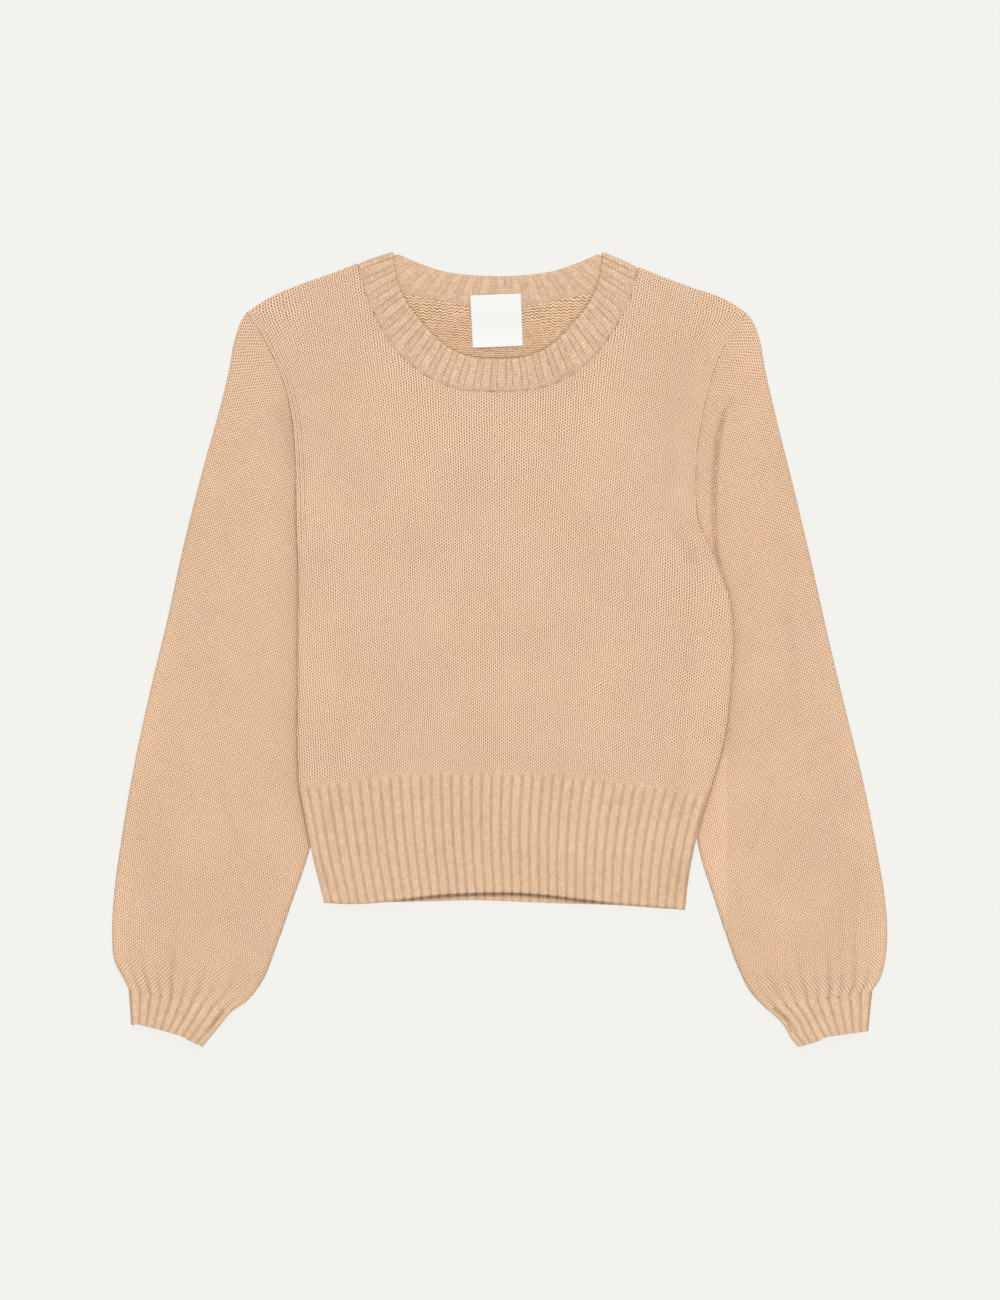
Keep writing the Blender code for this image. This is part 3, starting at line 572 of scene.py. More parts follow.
def yarn_finish(tree, colour, height, out, speckle):
    """Brushed cashmere: very matt, with a soft halo of fibres and small light and dark specks."""
    where = add(tree, "ShaderNodeTexCoord").outputs["Object"]
    # Fibre clumps 0.5 to 2 mm across, coarser than the 0.02 mm fibres so that they show.
    specks = add(tree, "ShaderNodeTexNoise", {
        "Vector": where, "Scale": 520.0, "Detail": 3.0, "Roughness": 0.7})
    drift = add(tree, "ShaderNodeTexNoise", {"Vector": where, "Scale": 16.0, "Detail": 2.0})
    tone = add(tree, "ShaderNodeMapRange", {
        "Value": specks.outputs["Fac"], "From Min": 0.3, "From Max": 0.7,
        "To Min": 1.0 - speckle, "To Max": 1.0 + speckle})
    slow = add(tree, "ShaderNodeMapRange", {
        "Value": drift.outputs["Fac"], "From Min": 0.3, "From Max": 0.7,
        "To Min": 0.975, "To Max": 1.025})
    both = add(tree, "ShaderNodeMath", {0: tone, 1: slow}, operation="MULTIPLY")
    # Painted shade in deep folds, grooves and gaps between layers, and painted light in a few
    # places, scale the colour.
    deep = add(tree, "ShaderNodeAttribute", attribute_name="painted_shade_and_light")
    shaded = add(tree, "ShaderNodeMath", {0: both, 1: deep.outputs["Fac"]}, operation="MULTIPLY")
    # The dye took a little more pink here and a little more yellow there.
    hue = add(tree, "ShaderNodeVectorMath", {
        0: drift.outputs["Color"], 1: (0.03, 0.07, 0.1), 2: (0.985, 0.965, 0.95)},
        operation="MULTIPLY_ADD")
    dyed = add(tree, "ShaderNodeVectorMath", {0: colour, 1: hue}, operation="MULTIPLY")
    toned = add(tree, "ShaderNodeVectorMath", {0: dyed, "Scale": shaded}, operation="SCALE")
    fibre = add(tree, "ShaderNodeMath", {0: specks.outputs["Fac"], 1: 0.25, 2: height},
                operation="MULTIPLY_ADD")
    bump = add(tree, "ShaderNodeBump", {"Strength": 0.8, "Distance": 0.0004, "Height": fibre})
    shader = add(tree, "ShaderNodeBsdfPrincipled", {
        "Base Color": toned, "Normal": bump, "Roughness": 0.92,
        "Specular IOR Level": 0.25, "Sheen Weight": 0.22, "Sheen Roughness": 0.4,
        "Sheen Tint": linear("#F3DCC4")})
    tree.links.new(shader.outputs["BSDF"], out.inputs["Surface"])


def stitch_coordinates(tree, wales=1.0, stray=0.55):
    """Place across and up the stitch map, where each stitch strays a little from its row."""
    uv = add(tree, "ShaderNodeUVMap", uv_map="stitches")
    counted = add(tree, "ShaderNodeVectorMath", {0: uv, 1: (wales, 1.0, 0.0)}, operation="MULTIPLY")
    sway = add(tree, "ShaderNodeTexNoise", {"Vector": counted, "Scale": 0.31, "Detail": 1.0})
    middle = add(tree, "ShaderNodeVectorMath", {0: sway.outputs["Color"], 1: (0.5, 0.5, 0.5)},
                 operation="SUBTRACT")
    moved = add(tree, "ShaderNodeVectorMath", {
        0: middle, 1: (stray / wales, 0.95, 0.0), 2: uv},
        operation="MULTIPLY_ADD")
    parts = add(tree, "ShaderNodeSeparateXYZ", {0: moved})
    return parts.outputs[0], parts.outputs[1]


def from_middle(tree, value, size):
    """Distance from the middle of columns of this width, 0 to 1."""
    turns = add(tree, "ShaderNodeMath", {0: value, 1: 1.0 / size}, operation="MULTIPLY")
    share = add(tree, "ShaderNodeMath", {0: turns}, operation="FRACT")
    apart = add(tree, "ShaderNodeMath", {0: share, 1: 0.5}, operation="SUBTRACT")
    whole = add(tree, "ShaderNodeMath", {0: apart}, operation="ABSOLUTE")
    return add(tree, "ShaderNodeMath", {0: whole, 1: 2.0}, operation="MULTIPLY")


def half_wave(tree, value, turns=1.0):
    """(1 - cos(turns * 2 pi * value)) / 2"""
    angle = add(tree, "ShaderNodeMath", {0: value, 1: turns * 2 * math.pi}, operation="MULTIPLY")
    wave = add(tree, "ShaderNodeMath", {0: angle}, operation="COSINE")
    return add(tree, "ShaderNodeMath", {0: wave, 1: -0.5, 2: 0.5}, operation="MULTIPLY_ADD")


def yarn_chance(tree, column, row, columns):
    """A number from 0 to 1 for each leg of a stitch: no two take the light alike."""
    narrow = add(tree, "ShaderNodeMath", {0: column, 1: columns}, operation="MULTIPLY")
    across = add(tree, "ShaderNodeMath", {0: narrow}, operation="FLOOR")
    up = add(tree, "ShaderNodeMath", {0: row}, operation="FLOOR")
    cell = add(tree, "ShaderNodeCombineXYZ", {0: across, 1: up})
    return add(tree, "ShaderNodeTexWhiteNoise", {"Vector": cell},
               noise_dimensions="2D").outputs["Value"]


def yarn_and_painted_shade(tree, share, low, high, deep, light):
    """Colour between a painted shade and the yarn's own, as the yarn's part goes from low to high
    with a share.
    """
    part = add(tree, "ShaderNodeMapRange", {"Value": share, "To Min": low, "To Max": high})
    tone = add(tree, "ShaderNodeMix", {"Factor": part, 6: linear(deep), 7: linear(light)},
               data_type="RGBA")
    return tone.outputs[2], part


def stockinette(name, light, deep, strength, ends=0.85):
    """Knit side of stockinette in brushed cashmere: columns of small pale V stitches."""
    look, tree, out = fresh(name)
    s, t = stitch_coordinates(tree)
    q = from_middle(tree, s, 1.0)
    phase = add(tree, "ShaderNodeMath", {0: q, 1: -STITCH_LEAN, 2: t}, operation="MULTIPLY_ADD")
    leg = half_wave(tree, phase)
    across = half_wave(tree, q)
    own = yarn_chance(tree, s, phase, 2.0)
    # Pale along both legs, with painted shade in a faint line between stitches and in a small
    # dark hollow, some deeper than others, wherever a groove up the wale meets the end of a stitch.
    groove = add(tree, "ShaderNodeMath", {0: 1.0, 1: across}, operation="SUBTRACT")
    gap = add(tree, "ShaderNodeMath", {0: 1.0, 1: leg}, operation="SUBTRACT")
    hollow = add(tree, "ShaderNodeMath", {0: gap, 1: ends, 2: 1.0 - ends}, operation="MULTIPLY_ADD")
    sharp = add(tree, "ShaderNodeMath", {0: groove, 1: 1.2}, operation="POWER")
    dots = add(tree, "ShaderNodeMath", {0: sharp, 1: hollow}, operation="MULTIPLY")
    uneven = add(tree, "ShaderNodeMath", {0: own, 1: 0.9, 2: 0.6}, operation="MULTIPLY_ADD")
    pits = add(tree, "ShaderNodeMath", {0: dots, 1: uneven}, operation="MULTIPLY")
    dark = add(tree, "ShaderNodeMath", {0: gap, 1: 0.2, 2: pits}, operation="MULTIPLY_ADD")
    raised = add(tree, "ShaderNodeMath", {0: 1.0, 1: dark}, operation="SUBTRACT", use_clamp=True)
    varied = add(tree, "ShaderNodeMath", {0: own, 1: 0.26, 2: 0.74}, operation="MULTIPLY_ADD")
    body = add(tree, "ShaderNodeMath", {0: raised, 1: varied}, operation="MULTIPLY")
    colour, _ = yarn_and_painted_shade(tree, body, 1.0 - strength, 1.0, deep, light)
    yarn_finish(tree, colour, body, out, 0.09)
    return look


def purl(name, light, deep, strength):
    """Purl side of stockinette: rows of bumps that wave from wale to wale."""
    look, tree, out = fresh(name)
    s, t = stitch_coordinates(tree)
    wave = half_wave(tree, s)
    phase = add(tree, "ShaderNodeMath", {0: wave, 1: 2 * PURL_WAVE, 2: t}, operation="MULTIPLY_ADD")
    row = half_wave(tree, phase)
    own = yarn_chance(tree, s, phase, 2.0)
    uneven = add(tree, "ShaderNodeMath", {0: own, 1: 0.3, 2: 0.8}, operation="MULTIPLY_ADD")
    # Painted shade in the troughs between the rows of bumps.
    dark = add(tree, "ShaderNodeMath", {0: row, 1: uneven}, operation="MULTIPLY", use_clamp=True)
    colour, part = yarn_and_painted_shade(tree, dark, 1.0, 1.0 - strength, deep, light)
    yarn_finish(tree, colour, part, out, 0.07)
    return look


knit_face = stockinette("cashmere_stockinette", "#FFDEBE", "#7D5234", 0.95)
purl_face = purl("cashmere_purl", "#FEDCB9", "#8F633F", 0.98)


def body_level(facing, rise, fold):
    """Height of a body panel's face over the floor: facing 1 up, -1 down."""
    def height(plan, st, room):
        near = fold.near(plan)[0]
        level = BODY_MID + facing * (SEAM / 2 + (rise - SEAM / 2) * rounded(near))
        return level + lift(*plan.T)
    return height


side_run = {side: drawn(SIDE_EDGE[side], STEP, side) for side in (-1, 1)}
arm_run = {side: drawn(ARM_EDGE[side], STEP, side) for side in (-1, 1)}
shoulder_run = {side: drawn(SHOULDER[side], STEP, side) for side in (-1, 1)}
rib_run = drawn(RIB_LINE, STEP)
neck_back = spaced(whole_neck(NECK_SEAM_BACK)[::-1], STEP)


def body_loop(neck):
    """The panel's outline: rib, one side, shoulder, neck, shoulder and the other side."""
    rising, falling = shoulder_run[1].copy(), shoulder_run[-1][::-1].copy()
    rising[-1], falling[0] = neck[0], neck[-1]
    return loop_of(rib_run, side_run[1], arm_run[1], rising, neck, falling,
                   arm_run[-1][::-1], side_run[-1][::-1])


folds = Guide(side_run[1], shoulder_run[1], shoulder_run[-1][::-1], side_run[-1][::-1])
back_loop = body_loop(neck_back)
back_inner = drawn_in(back_loop, folds, EDGE_WALL)


def purl_lines(place, wales, courses):
    """Lines across the purl side, six points a wale and four rows a course."""
    s, t = np.meshgrid(np.arange(wales[0], wales[1], 0.2), np.arange(courses[0], courses[1], 0.25),
                       indexing="ij")
    return [(place(s, t), np.stack([s, t], axis=-1))]


def back_upper(plan, st, room):
    """The back's purl side, with its bumps where the neck leaves it in sight."""
    base = body_level(-1, LAYER_GAP / 2, folds)(plan, st, room)
    fine = ease((plan[:, 1] - 228.0) / 8.0) * ease(room / 2.0)
    return base + (purl_height(st) - 0.1) * fine


inside_neck = purl_lines(body_place, (-32, 32), (131, 167))
far_spots = coarse(back_inner)
far_spots = far_spots[(far_spots[:, 1] < 214.0) | (np.abs(far_spots[:, 0]) > 125.0)]
back_top = skin(back_inner, body_stitch, inside_neck + plain(far_spots, body_stitch), back_upper)
back_under = plain_skin(back_loop, body_stitch, body_level(-1, BODY_MID, folds), down=True)
back_panel = sew("back_panel_cloth", [
    (back_top, 1), (back_under, 0),
    (rim(back_under[3], back_top[3], body_stitch(back_loop)), 0)], [knit_face, purl_face])
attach(back_panel, ROOT)
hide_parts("back_panel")

# ---- front panel ---------------------------------------------------------------------------
# The front is the same cashmere stockinette, knit side up, cut lower at the neck. It lies on
# the back, and its sides ride up over the sleeves. Each of its stitches is raised in the mesh.
NECK_SEAM_FRONT = [(119.8, 327.6), (115.2, 311.1), (109.6, 293.7), (100.7, 275.0),
                   (88.8, 256.3), (71.8, 239.3), (53.1, 227.4), (34.0, 221.0), (0.0, 218.0)]
neck_front = spaced(whole_neck(NECK_SEAM_FRONT)[::-1], STEP)
front_loop = body_loop(neck_front)
front_inner = drawn_in(front_loop, folds, EDGE_WALL)


def by_armhole(plan):
    """How near a point is to an armhole's seam, in mm, and how far along it the seam is even."""
    x, y = plan.T
    side = np.where(x < 0, -1, 1)
    away = np.where(side < 0, edge_x(-1, y), edge_x(1, y)) - np.abs(x)
    armpit = np.where(side < 0, ARMPIT[-1], ARMPIT[1])
    return away, ease((y - armpit - 2.0) / 14.0) * ease((278.0 - y) / 14.0)


def wale_groove(st, wide):
    """1 in the groove between two wales, falling to 0 on them."""
    return np.exp(-(np.abs((st[:, 0] + 0.5) % 1.0 - 0.5) / wide) ** 2)


def front_upper(plan, st, room):
    """The front's knit side, which stays thick up to the armholes' seams."""
    away, sewn = by_armhole(plan)
    near = np.maximum(folds.near(plan)[0], 2.4 * sewn * (away < 12.0))
    level = BODY_MID + SEAM / 2 + (BODY_MID - SEAM / 2) * rounded(near) + lift(*plan.T)
    return level + stitch_height(st) * ease(room / 1.2) - 0.1


def front_shade(points, st):
    """Painted shade in the grooves beside the two wales along each armhole and on the shoulders,
    and painted light by the left armhole.
    """
    away, sewn = by_armhole(points[:, :2])
    own = 0.4 + 1.1 * chance(np.round(st[:, 0]), np.floor(st[:, 1]))
    deep = np.where(points[:, 0] < 0, 0.26, 0.07) * sewn * ease((9.5 - away) / 3.0)
    # The shoulders' grooves get a little more painted shade than the chest's.
    deep = np.maximum(deep, 0.09 * ease((points[:, 1] - 185.0) / 70.0))
    # Painted light beside the left armhole.
    painted_light = 0.035 * (points[:, 0] > 0) * sewn * ease((26.0 - away) / 16.0)
    return 1 + painted_light - deep * own * wale_groove(st, 0.12) * (points[:, 2] > BODY_MID)


front_lines = stitch_lines(body_place, (-56, 57), (-10, 185))
front_top = skin(front_loop, body_stitch, front_lines, front_upper)
front_under = plain_skin(front_inner, body_stitch, body_level(1, LAYER_GAP / 2, folds),
                         down=True)
front_panel = sew("front_panel_cloth", [
    (front_top, 0), (front_under, 1),
    (rim(front_under[3], front_top[3], body_stitch(front_loop)), 0)],
    [knit_face, purl_face], shade=front_shade)
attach(front_panel, ROOT)
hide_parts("front_panel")

# ---- ribbed hem ----------------------------------------------------------------------------
# Both hems are knitted on in a broad rib: two knit wales stand up, then a hollow. The front
# hem arches up a little, so a strip of the back one shows below it.
HEM_FRONT = [(-149.2, -216.3), (-127.1, -217.3), (-103.3, -216.2), (-79.5, -212.8),
             (-55.7, -209.9), (-20.0, -207.8), (16.2, -207.8), (40.0, -209.5),
             (71.0, -213.3), (99.6, -216.8), (123.7, -218.9), (157.7, -222.3)]
HEM_BACK = [(-149.2, -216.3), (-108.4, -216.0), (-67.6, -215.3), (-20.0, -214.1),
            (16.2, -215.3), (51.9, -216.8), (99.6, -218.4), (128.0, -220.4), (157.7, -222.3)]
HEM_RIBS = 40
HEM_DEPTH = 104.0
HEM_LEFT, HEM_WIDE, HEM_TOP = -150.0, 307.0, -112.0
RIB_LEG = 0.22  # width of one wale's leg, in ribs
# Places across one rib, from the left of its raised part, and the relief's share there.
RIB_STEPS = np.array([0.0, 0.05, 0.115, 0.225, 0.335, 0.445, 0.555, 0.64, 0.73, 0.865])
RIB_FORM = np.array([0.15, 0.7, 0.95, 0.82, 1.0, 0.82, 0.95, 0.5, 0.1, 0.0])


def hem_place(u, w, hem):
    """Plan points of the hem: u across from 0 to 1, w up from its lower edge to its top."""
    def on(table):
        x = table[0][0] + u * (table[-1][0] - table[0][0])
        return np.stack([x, np.interp(x, *drawn(table, 1.0).T)], axis=-1)
    s, v = u[..., None], w[..., None]
    left, right = curve(RIB_EDGE[-1], w) * [-1.0, 1.0], curve(RIB_EDGE[1], w)
    low_left, top_left = np.array(RIB_EDGE[-1])[[0, -1]] * [-1.0, 1.0]
    low_right, top_right = np.array(RIB_EDGE[1])[[0, -1]]
    corners = ((1 - s) * (1 - v) * low_left + s * (1 - v) * low_right
               + (1 - s) * v * top_left + s * v * top_right)
    return (1 - v) * on(hem) + v * on(RIB_LINE) + (1 - s) * left + s * right - corners


def rib_form(s):
    """The relief's share at a place across the ribs, 0 in a hollow and 1 on a leg."""
    return np.interp(s % 1.0, np.r_[RIB_STEPS, 1.0], np.r_[RIB_FORM, RIB_FORM[0]])


def rib_height(st, rise):
    """Relief of a rib: two knit wales with a shallow groove between, then a barred hollow."""
    s, t = st[..., 0], st[..., 1]
    form = rib_form(s)
    bead = 0.5 + 0.5 * np.cos(2 * np.pi * (t - 0.35 * np.abs(s / RIB_LEG % 1.0 - 0.5) * 2))
    bar = 0.5 + 0.5 * np.cos(2 * np.pi * (t + 0.5))
    return rise * (form * (0.82 + 0.18 * bead) + (1 - form) * 0.16 * bar)


def border(grid):
    """The loop round a grid of rows and columns, anticlockwise from its first point."""
    return np.concatenate([grid[0, :-1], grid[:-1, -1], grid[-1, :0:-1], grid[:0:-1, 0]])


def grid_skin(points, st, down=False):
    """A face of a cloth made from a grid of rows, with its loop's points."""
    rows, cols = points.shape[:2]
    a = (np.arange(rows - 1)[:, None] * cols + np.arange(cols - 1)).ravel()
    faces = np.stack([a, a + 1, a + cols + 1, a + cols], axis=1)
    return (points.reshape(-1, 3), st.reshape(-1, 2), faces[:, ::-1] if down else faces,
            border(points))


def ribbing(name, light, deep, strength, levels, wales, leg_share, deepest, begins):
    """Rib in brushed cashmere: fine upright legs of stitches on the ribs, barred hollows,
    and painted shade in its grooves, its hollows and between its legs.
    """
    look, tree, out = fresh(name)
    s, t = stitch_coordinates(tree, wales, 0.2)
    share = add(tree, "ShaderNodeMath", {0: s}, operation="FRACT")
    form = add(tree, "ShaderNodeValToRGB", {"Fac": share})
    stops = form.color_ramp.elements
    stops[0].position, stops[1].position = 0.0, 1.0
    for place, level in levels[1:]:
        stops.new(place).color = (level, level, level, 1.0)
    stops[0].color = stops[len(stops) - 1].color = (*[levels[0][1]] * 3, 1.0)
    # The rib comes up softly out of the plain knitting over its first courses.
    begun = add(tree, "ShaderNodeMapRange", {
        "Value": t, "From Min": begins[0], "From Max": begins[1], "To Min": 0.15, "To Max": 1.0},
        interpolation_type="SMOOTHSTEP")
    shown = add(tree, "ShaderNodeMix", {"Factor": begun, 2: 0.78, 3: form})
    lean = from_middle(tree, s, leg_share)
    phase = add(tree, "ShaderNodeMath", {0: lean, 1: -0.65, 2: t}, operation="MULTIPLY_ADD")
    leg = half_wave(tree, phase)
    own = yarn_chance(tree, s, phase, 1.0 / leg_share)
    # Painted shade between the legs of the stitches.
    less = add(tree, "ShaderNodeMath", {0: leg, 1: deepest, 2: 1.0 - deepest},
               operation="MULTIPLY_ADD")
    varied = add(tree, "ShaderNodeMath", {0: own, 1: 0.26, 2: 0.74}, operation="MULTIPLY_ADD")
    beads = add(tree, "ShaderNodeMath", {0: less, 1: varied}, operation="MULTIPLY")
    body = add(tree, "ShaderNodeMath", {0: shown, 1: beads}, operation="MULTIPLY")
    colour, _ = yarn_and_painted_shade(tree, body, 1.0 - strength, 1.0, deep, light)
    yarn_finish(tree, colour, body, out, 0.085)
    return look


# Colour levels across a rib: the lower ones are painted shade in its groove and hollow.
rib_face = ribbing("cashmere_rib", "#F5D4B2", "#7C5333", 0.87, [
    (0.0, 0.64), (0.05, 0.85), (0.115, 1.0), (0.225, 0.72), (0.335, 1.0), (0.445, 0.72),
    (0.555, 1.0), (0.64, 0.78), (0.73, 0.6), (0.865, 0.55), (0.95, 0.6)],
    2.4, RIB_LEG, 0.35, (-0.3, -2.8))


def rib_columns(ribs):
    """Places from 0 to 1 across a piece with this many ribs, ten to a rib."""
    return np.r_[(np.arange(ribs)[:, None] + RIB_STEPS).ravel(), ribs] / ribs


def hem_stitch(u, w):
    """Rib and course of places on the hem."""
    return np.stack([u * HEM_RIBS, (w - 1) * HEM_DEPTH / COURSE], axis=-1)


hem_folds = Guide(drawn(RIB_EDGE[1], STEP), drawn(RIB_EDGE[-1], STEP, -1)[::-1])


def front_hem_y(x):
    """Height of the front hem's lower edge."""
    return np.interp(x, *drawn(HEM_FRONT, 1.0).T)


def hem_gap(x, below):
    """How deep the shade under the front hem's edge is, where it clears the back one."""
    clear = np.interp(x, [-115.0, -75.0, -30.0, 40.0, 88.0, 112.0], [0, 0.8, 1, 1, 0.8, 0])
    return clear * np.exp(-((below - 1.0) / 1.5) ** 2)


def hem_shade(points, st):
    """Painted shade from the front hem on the back one, broken up by the ribs' hollows, and
    painted light over the rest of the back hem.
    """
    below = front_hem_y(points[:, 0]) - points[:, 1]
    toothed = 0.78 + 0.4 * ease((st[:, 0] % 1.0 - 0.6) / 0.1)
    return 1.06 - 0.62 * toothed * hem_gap(points[:, 0], below) * (points[:, 2] > 0.5)


def hem_piece(name, hem, facing, rows, rise):
    """One hem: a ribbed face up, a plain one down, and the walls between them."""
    u, w = np.meshgrid(rib_columns(HEM_RIBS), rows)
    plan, st = hem_place(u, w, hem), hem_stitch(u, w)
    outline = border(plan)
    upper_rise = BODY_MID if facing > 0 else LAYER_GAP / 2
    lower_rise = LAYER_GAP / 2 if facing > 0 else BODY_MID
    if facing < 0:
        plan = drawn_in(plan.reshape(-1, 2), hem_folds, EDGE_WALL).reshape(plan.shape)
    else:
        # The ribs' hollows end a little higher, so the lower edge is slightly toothed.
        plan[..., 1] += 0.9 * (1 - rib_form(st[..., 0])) * np.exp(-w * HEM_DEPTH / 2.0)
    flat = plan.reshape(-1, 2)
    level = body_level(facing, upper_rise, hem_folds)(flat, None, None).reshape(u.shape)
    near = hem_folds.near(flat)[0].reshape(u.shape)
    from_low, from_top = w * HEM_DEPTH, (1 - w) * HEM_DEPTH
    keep = np.clip(near / 4.0, 0, 1) * (0.2 + 0.8 * ease(from_top / 9.0))
    level = level + (rib_height(st, rise) - 0.5 * rise) * keep
    level = level - 0.8 * (1 - rounded(from_low, 2.4))
    # The front hem's middle curls up a little, and the back one dips in its shade.
    below = front_hem_y(plan[..., 0]) - plan[..., 1]
    if facing > 0:
        level = level + 1.3 * np.exp(-from_low / 5.0) * np.sin(np.pi * np.clip(u, 0, 1)) ** 0.7
    else:
        level = level - 1.3 * hem_gap(plan[..., 0], below) + 0.5 * (from_low < 1.8)
    upper = grid_skin(np.dstack([plan, level]), st)
    low_plan = drawn_in(outline, hem_folds, EDGE_WALL) if facing > 0 else outline

    def stitch_of(points):
        share = (points[:, 0] - HEM_LEFT) / HEM_WIDE
        return np.stack([share * HEM_RIBS, (points[:, 1] - HEM_TOP) / COURSE], axis=1)

    lower = plain_skin(low_plan, stitch_of, body_level(facing, lower_rise, hem_folds), down=True)
    made = sew(name, [(upper, 0), (lower, 0), (rim(lower[3], upper[3], border(st)), 0)],
               [rib_face], shade=hem_shade if facing < 0 else None)
    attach(made, ROOT)
    return made


hem_back = hem_piece("hem_rib_back_cloth", HEM_BACK, -1,
                     np.r_[np.linspace(0, 0.1, 21), np.linspace(0.16, 1, 9)], 0.5)
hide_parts("hem_rib_back")
hem_front = hem_piece("hem_rib_front_cloth", HEM_FRONT, 1, np.linspace(0, 1, 85), 0.8)
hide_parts("hem_rib_front")

# ---- sleeves -------------------------------------------------------------------------------
# Full sleeves in the same stockinette, each a tube laid flat with folds down both sides. Its
# top layer is sewn to the front at the armhole, and its wide end is gathered into the cuff.
SLEEVE_OUTER = {
    -1: [(315.4, -289.4), (320.3, -280.1), (327.8, -264.3), (329.4, -243.5), (327.7, -207.8),
         (321.7, -162.8), (311.5, -103.3), (297.9, -39.5), (282.6, 24.2), (268.2, 89.7),
         (252.0, 153.4), (237.4, 206.1), (231.9, 228.2), (228.4, 245.2),
         (227.0, 254.5), (225.2, 262.2), (222.7, 270.7), (219.2, 279.2), (215.0, 285.8)],
    1: [(317.1, -291.1), (323.7, -280.9), (328.1, -264.8), (329.8, -239.3), (327.7, -212.1),
        (320.9, -171.3), (309.0, -111.8), (295.4, -56.5), (280.1, 7.2), (264.8, 75.2),
        (248.6, 143.2), (234.2, 201.0), (224.8, 243.5), (223.2, 253.0),
         (221.4, 262.0), (218.8, 270.7), (214.8, 279.2), (209.4, 285.5)]}
CUFF_WALES = 44.0  # wales that are gathered into the cuff on the top layer
SLEEVE_PITCH = 3.3  # width of a wale
SLEEVE_COURSE = 2.6  # height of a stitch
BODY_TOP = 2 * BODY_MID
BALLOON = 2.2  # how far the full part stands up


class SleeveField:
    """Where wales and courses run on one sleeve, in distance from the middle and height."""

    def __init__(self, side):
        outer, inner = drawn(SLEEVE_OUTER[side], 1.0), drawn(SLEEVE_INNER[side], 1.0)
        self.outer = np.vstack([[outer[0] - [14.0, 40.0]], outer, [outer[-1] + [-20.0, 40.0]]])
        self.inner = np.vstack([[inner[0] + [20.0, -20.0]], inner])

    def out(self, y):
        """How far from the middle line the outer fold is at a height."""
        return np.interp(y, self.outer[:, 1], self.outer[:, 0])

    def pitch(self, y):
        """Width of a wale at a height, no less than the cuff's gathers leave it."""
        y = 14.0 * np.logaddexp(y / 14.0, -280.0 / 14.0)
        wide = self.out(y) - np.interp(y, self.inner[:, 1], self.inner[:, 0])
        free = SLEEVE_PITCH + 0.6 * ease((y - 170.0) / 80.0)
        gathered = wide / CUFF_WALES + 9.0 * ease((y + 220.0) / 110.0)
        return -0.2 * np.logaddexp(-free / 0.2, -gathered / 0.2)

    def course(self, x, y):
        """Which course passes a point: they tilt more and more up the sleeve."""
        tilt = np.interp(y, [-300, -200, -60, 60, 160, 230, 290],
                         [0.2, 0.22, 0.28, 0.38, 0.42, 0.55, 0.8])
        return (y + tilt * (self.out(y) - x)) / SLEEVE_COURSE

    def of(self, points):
        """Wale and course of points on the sleeve."""
        x, y = points.T
        return np.stack([(self.out(y) - x) / self.pitch(y), self.course(x, y)], axis=1)

    def place(self, s, t):
        """Plan points of wales and courses on the sleeve."""
        y = SLEEVE_COURSE * t - 0.3 * SLEEVE_PITCH * s
        for _ in range(9):
            x = self.out(y) - s * self.pitch(y)
            y = y + 0.85 * SLEEVE_COURSE * (t - self.course(x, y))
        return np.stack([self.out(y) - s * self.pitch(y), y], axis=-1)


def along_fold(plan, line, wide):
    """1 along the middle of a soft fold, falling to 0 at its ends and past its width."""
    line = np.asarray(line, float)
    far = lengths(line)
    best, share = np.full(len(plan), 1e9), np.zeros(len(plan))
    for k in range(len(line) - 1):
        run = line[k + 1] - line[k]
        t = np.clip((plan - line[k]) @ run / (run @ run), 0, 1)
        away = np.linalg.norm(plan - line[k] - t[:, None] * run, axis=1)
        share = np.where(away < best, (far[k] + t * (far[k + 1] - far[k])) / far[-1], share)
        best = np.minimum(best, away)
    return np.exp(-(best / wide) ** 2) * ease(share / 0.2) * ease((1 - share) / 0.2)


# Soft folds of each sleeve: depth (less than 0 for a ridge), width, and points along it.
SLEEVE_FOLDS = {
    -1: [(-0.7, 8.0, [(212.0, 225.0), (217.0, 186.0), (219.0, 150.0)]),
         (0.9, 3.0, [(272.0, -282.0), (279.0, -266.0), (284.0, -246.0)]),
         (0.8, 4.5, [(206.0, -200.0), (226.0, -160.0), (238.0, -110.0)]),
         (-0.6, 7.0, [(246.0, 96.0), (240.0, 30.0), (244.0, -40.0)]),
         (0.6, 5.0, [(300.0, -250.0), (296.0, -200.0), (284.0, -150.0)])],
    1: [(2.6, 2.3, [(204.0, 214.0), (191.3, 199.4), (185.7, 176.4), (182.8, 141.5),
                    (182.3, 106.7), (184.0, 81.2), (193.0, 52.0)]),
        (-1.0, 5.5, [(186.0, 222.0), (177.0, 190.0), (173.5, 150.0), (174.5, 105.0),
                     (180.0, 84.0)]),
        (0.9, 6.0, [(243.0, 45.0), (248.0, 0.0), (252.0, -45.0), (254.0, -90.0)]),
        (0.9, 3.5, [(287.0, -200.0), (291.0, -235.0), (288.0, -276.0)]),
        (0.8, 3.0, [(302.0, -178.0), (303.0, -230.0), (300.0, -288.0)]),
        (-0.6, 6.0, [(222.0, 120.0), (226.0, 70.0), (232.0, 10.0)]),
        (0.6, 4.5, [(206.0, -190.0), (224.0, -150.0), (234.0, -105.0)])]}
# Gathers over the cuff, one above each hollow of its rib: place across, depth and length up.
GATHERS = [(0.087, 0.9, 13.0), (0.187, 1.0, 19.0), (0.287, 0.9, 15.0), (0.387, 1.1, 23.0),
           (0.487, 0.9, 17.0), (0.587, 1.2, 28.0), (0.687, 0.9, 18.0), (0.787, 1.1, 24.0),
           (0.887, 0.9, 15.0)]


def past_body(side, x, y):
    """How far out from the body's edge a point of the sleeve is."""
    return np.where(y < FLANK[side][0, 1], 60.0, np.maximum(x - edge_x(side, y), 0))


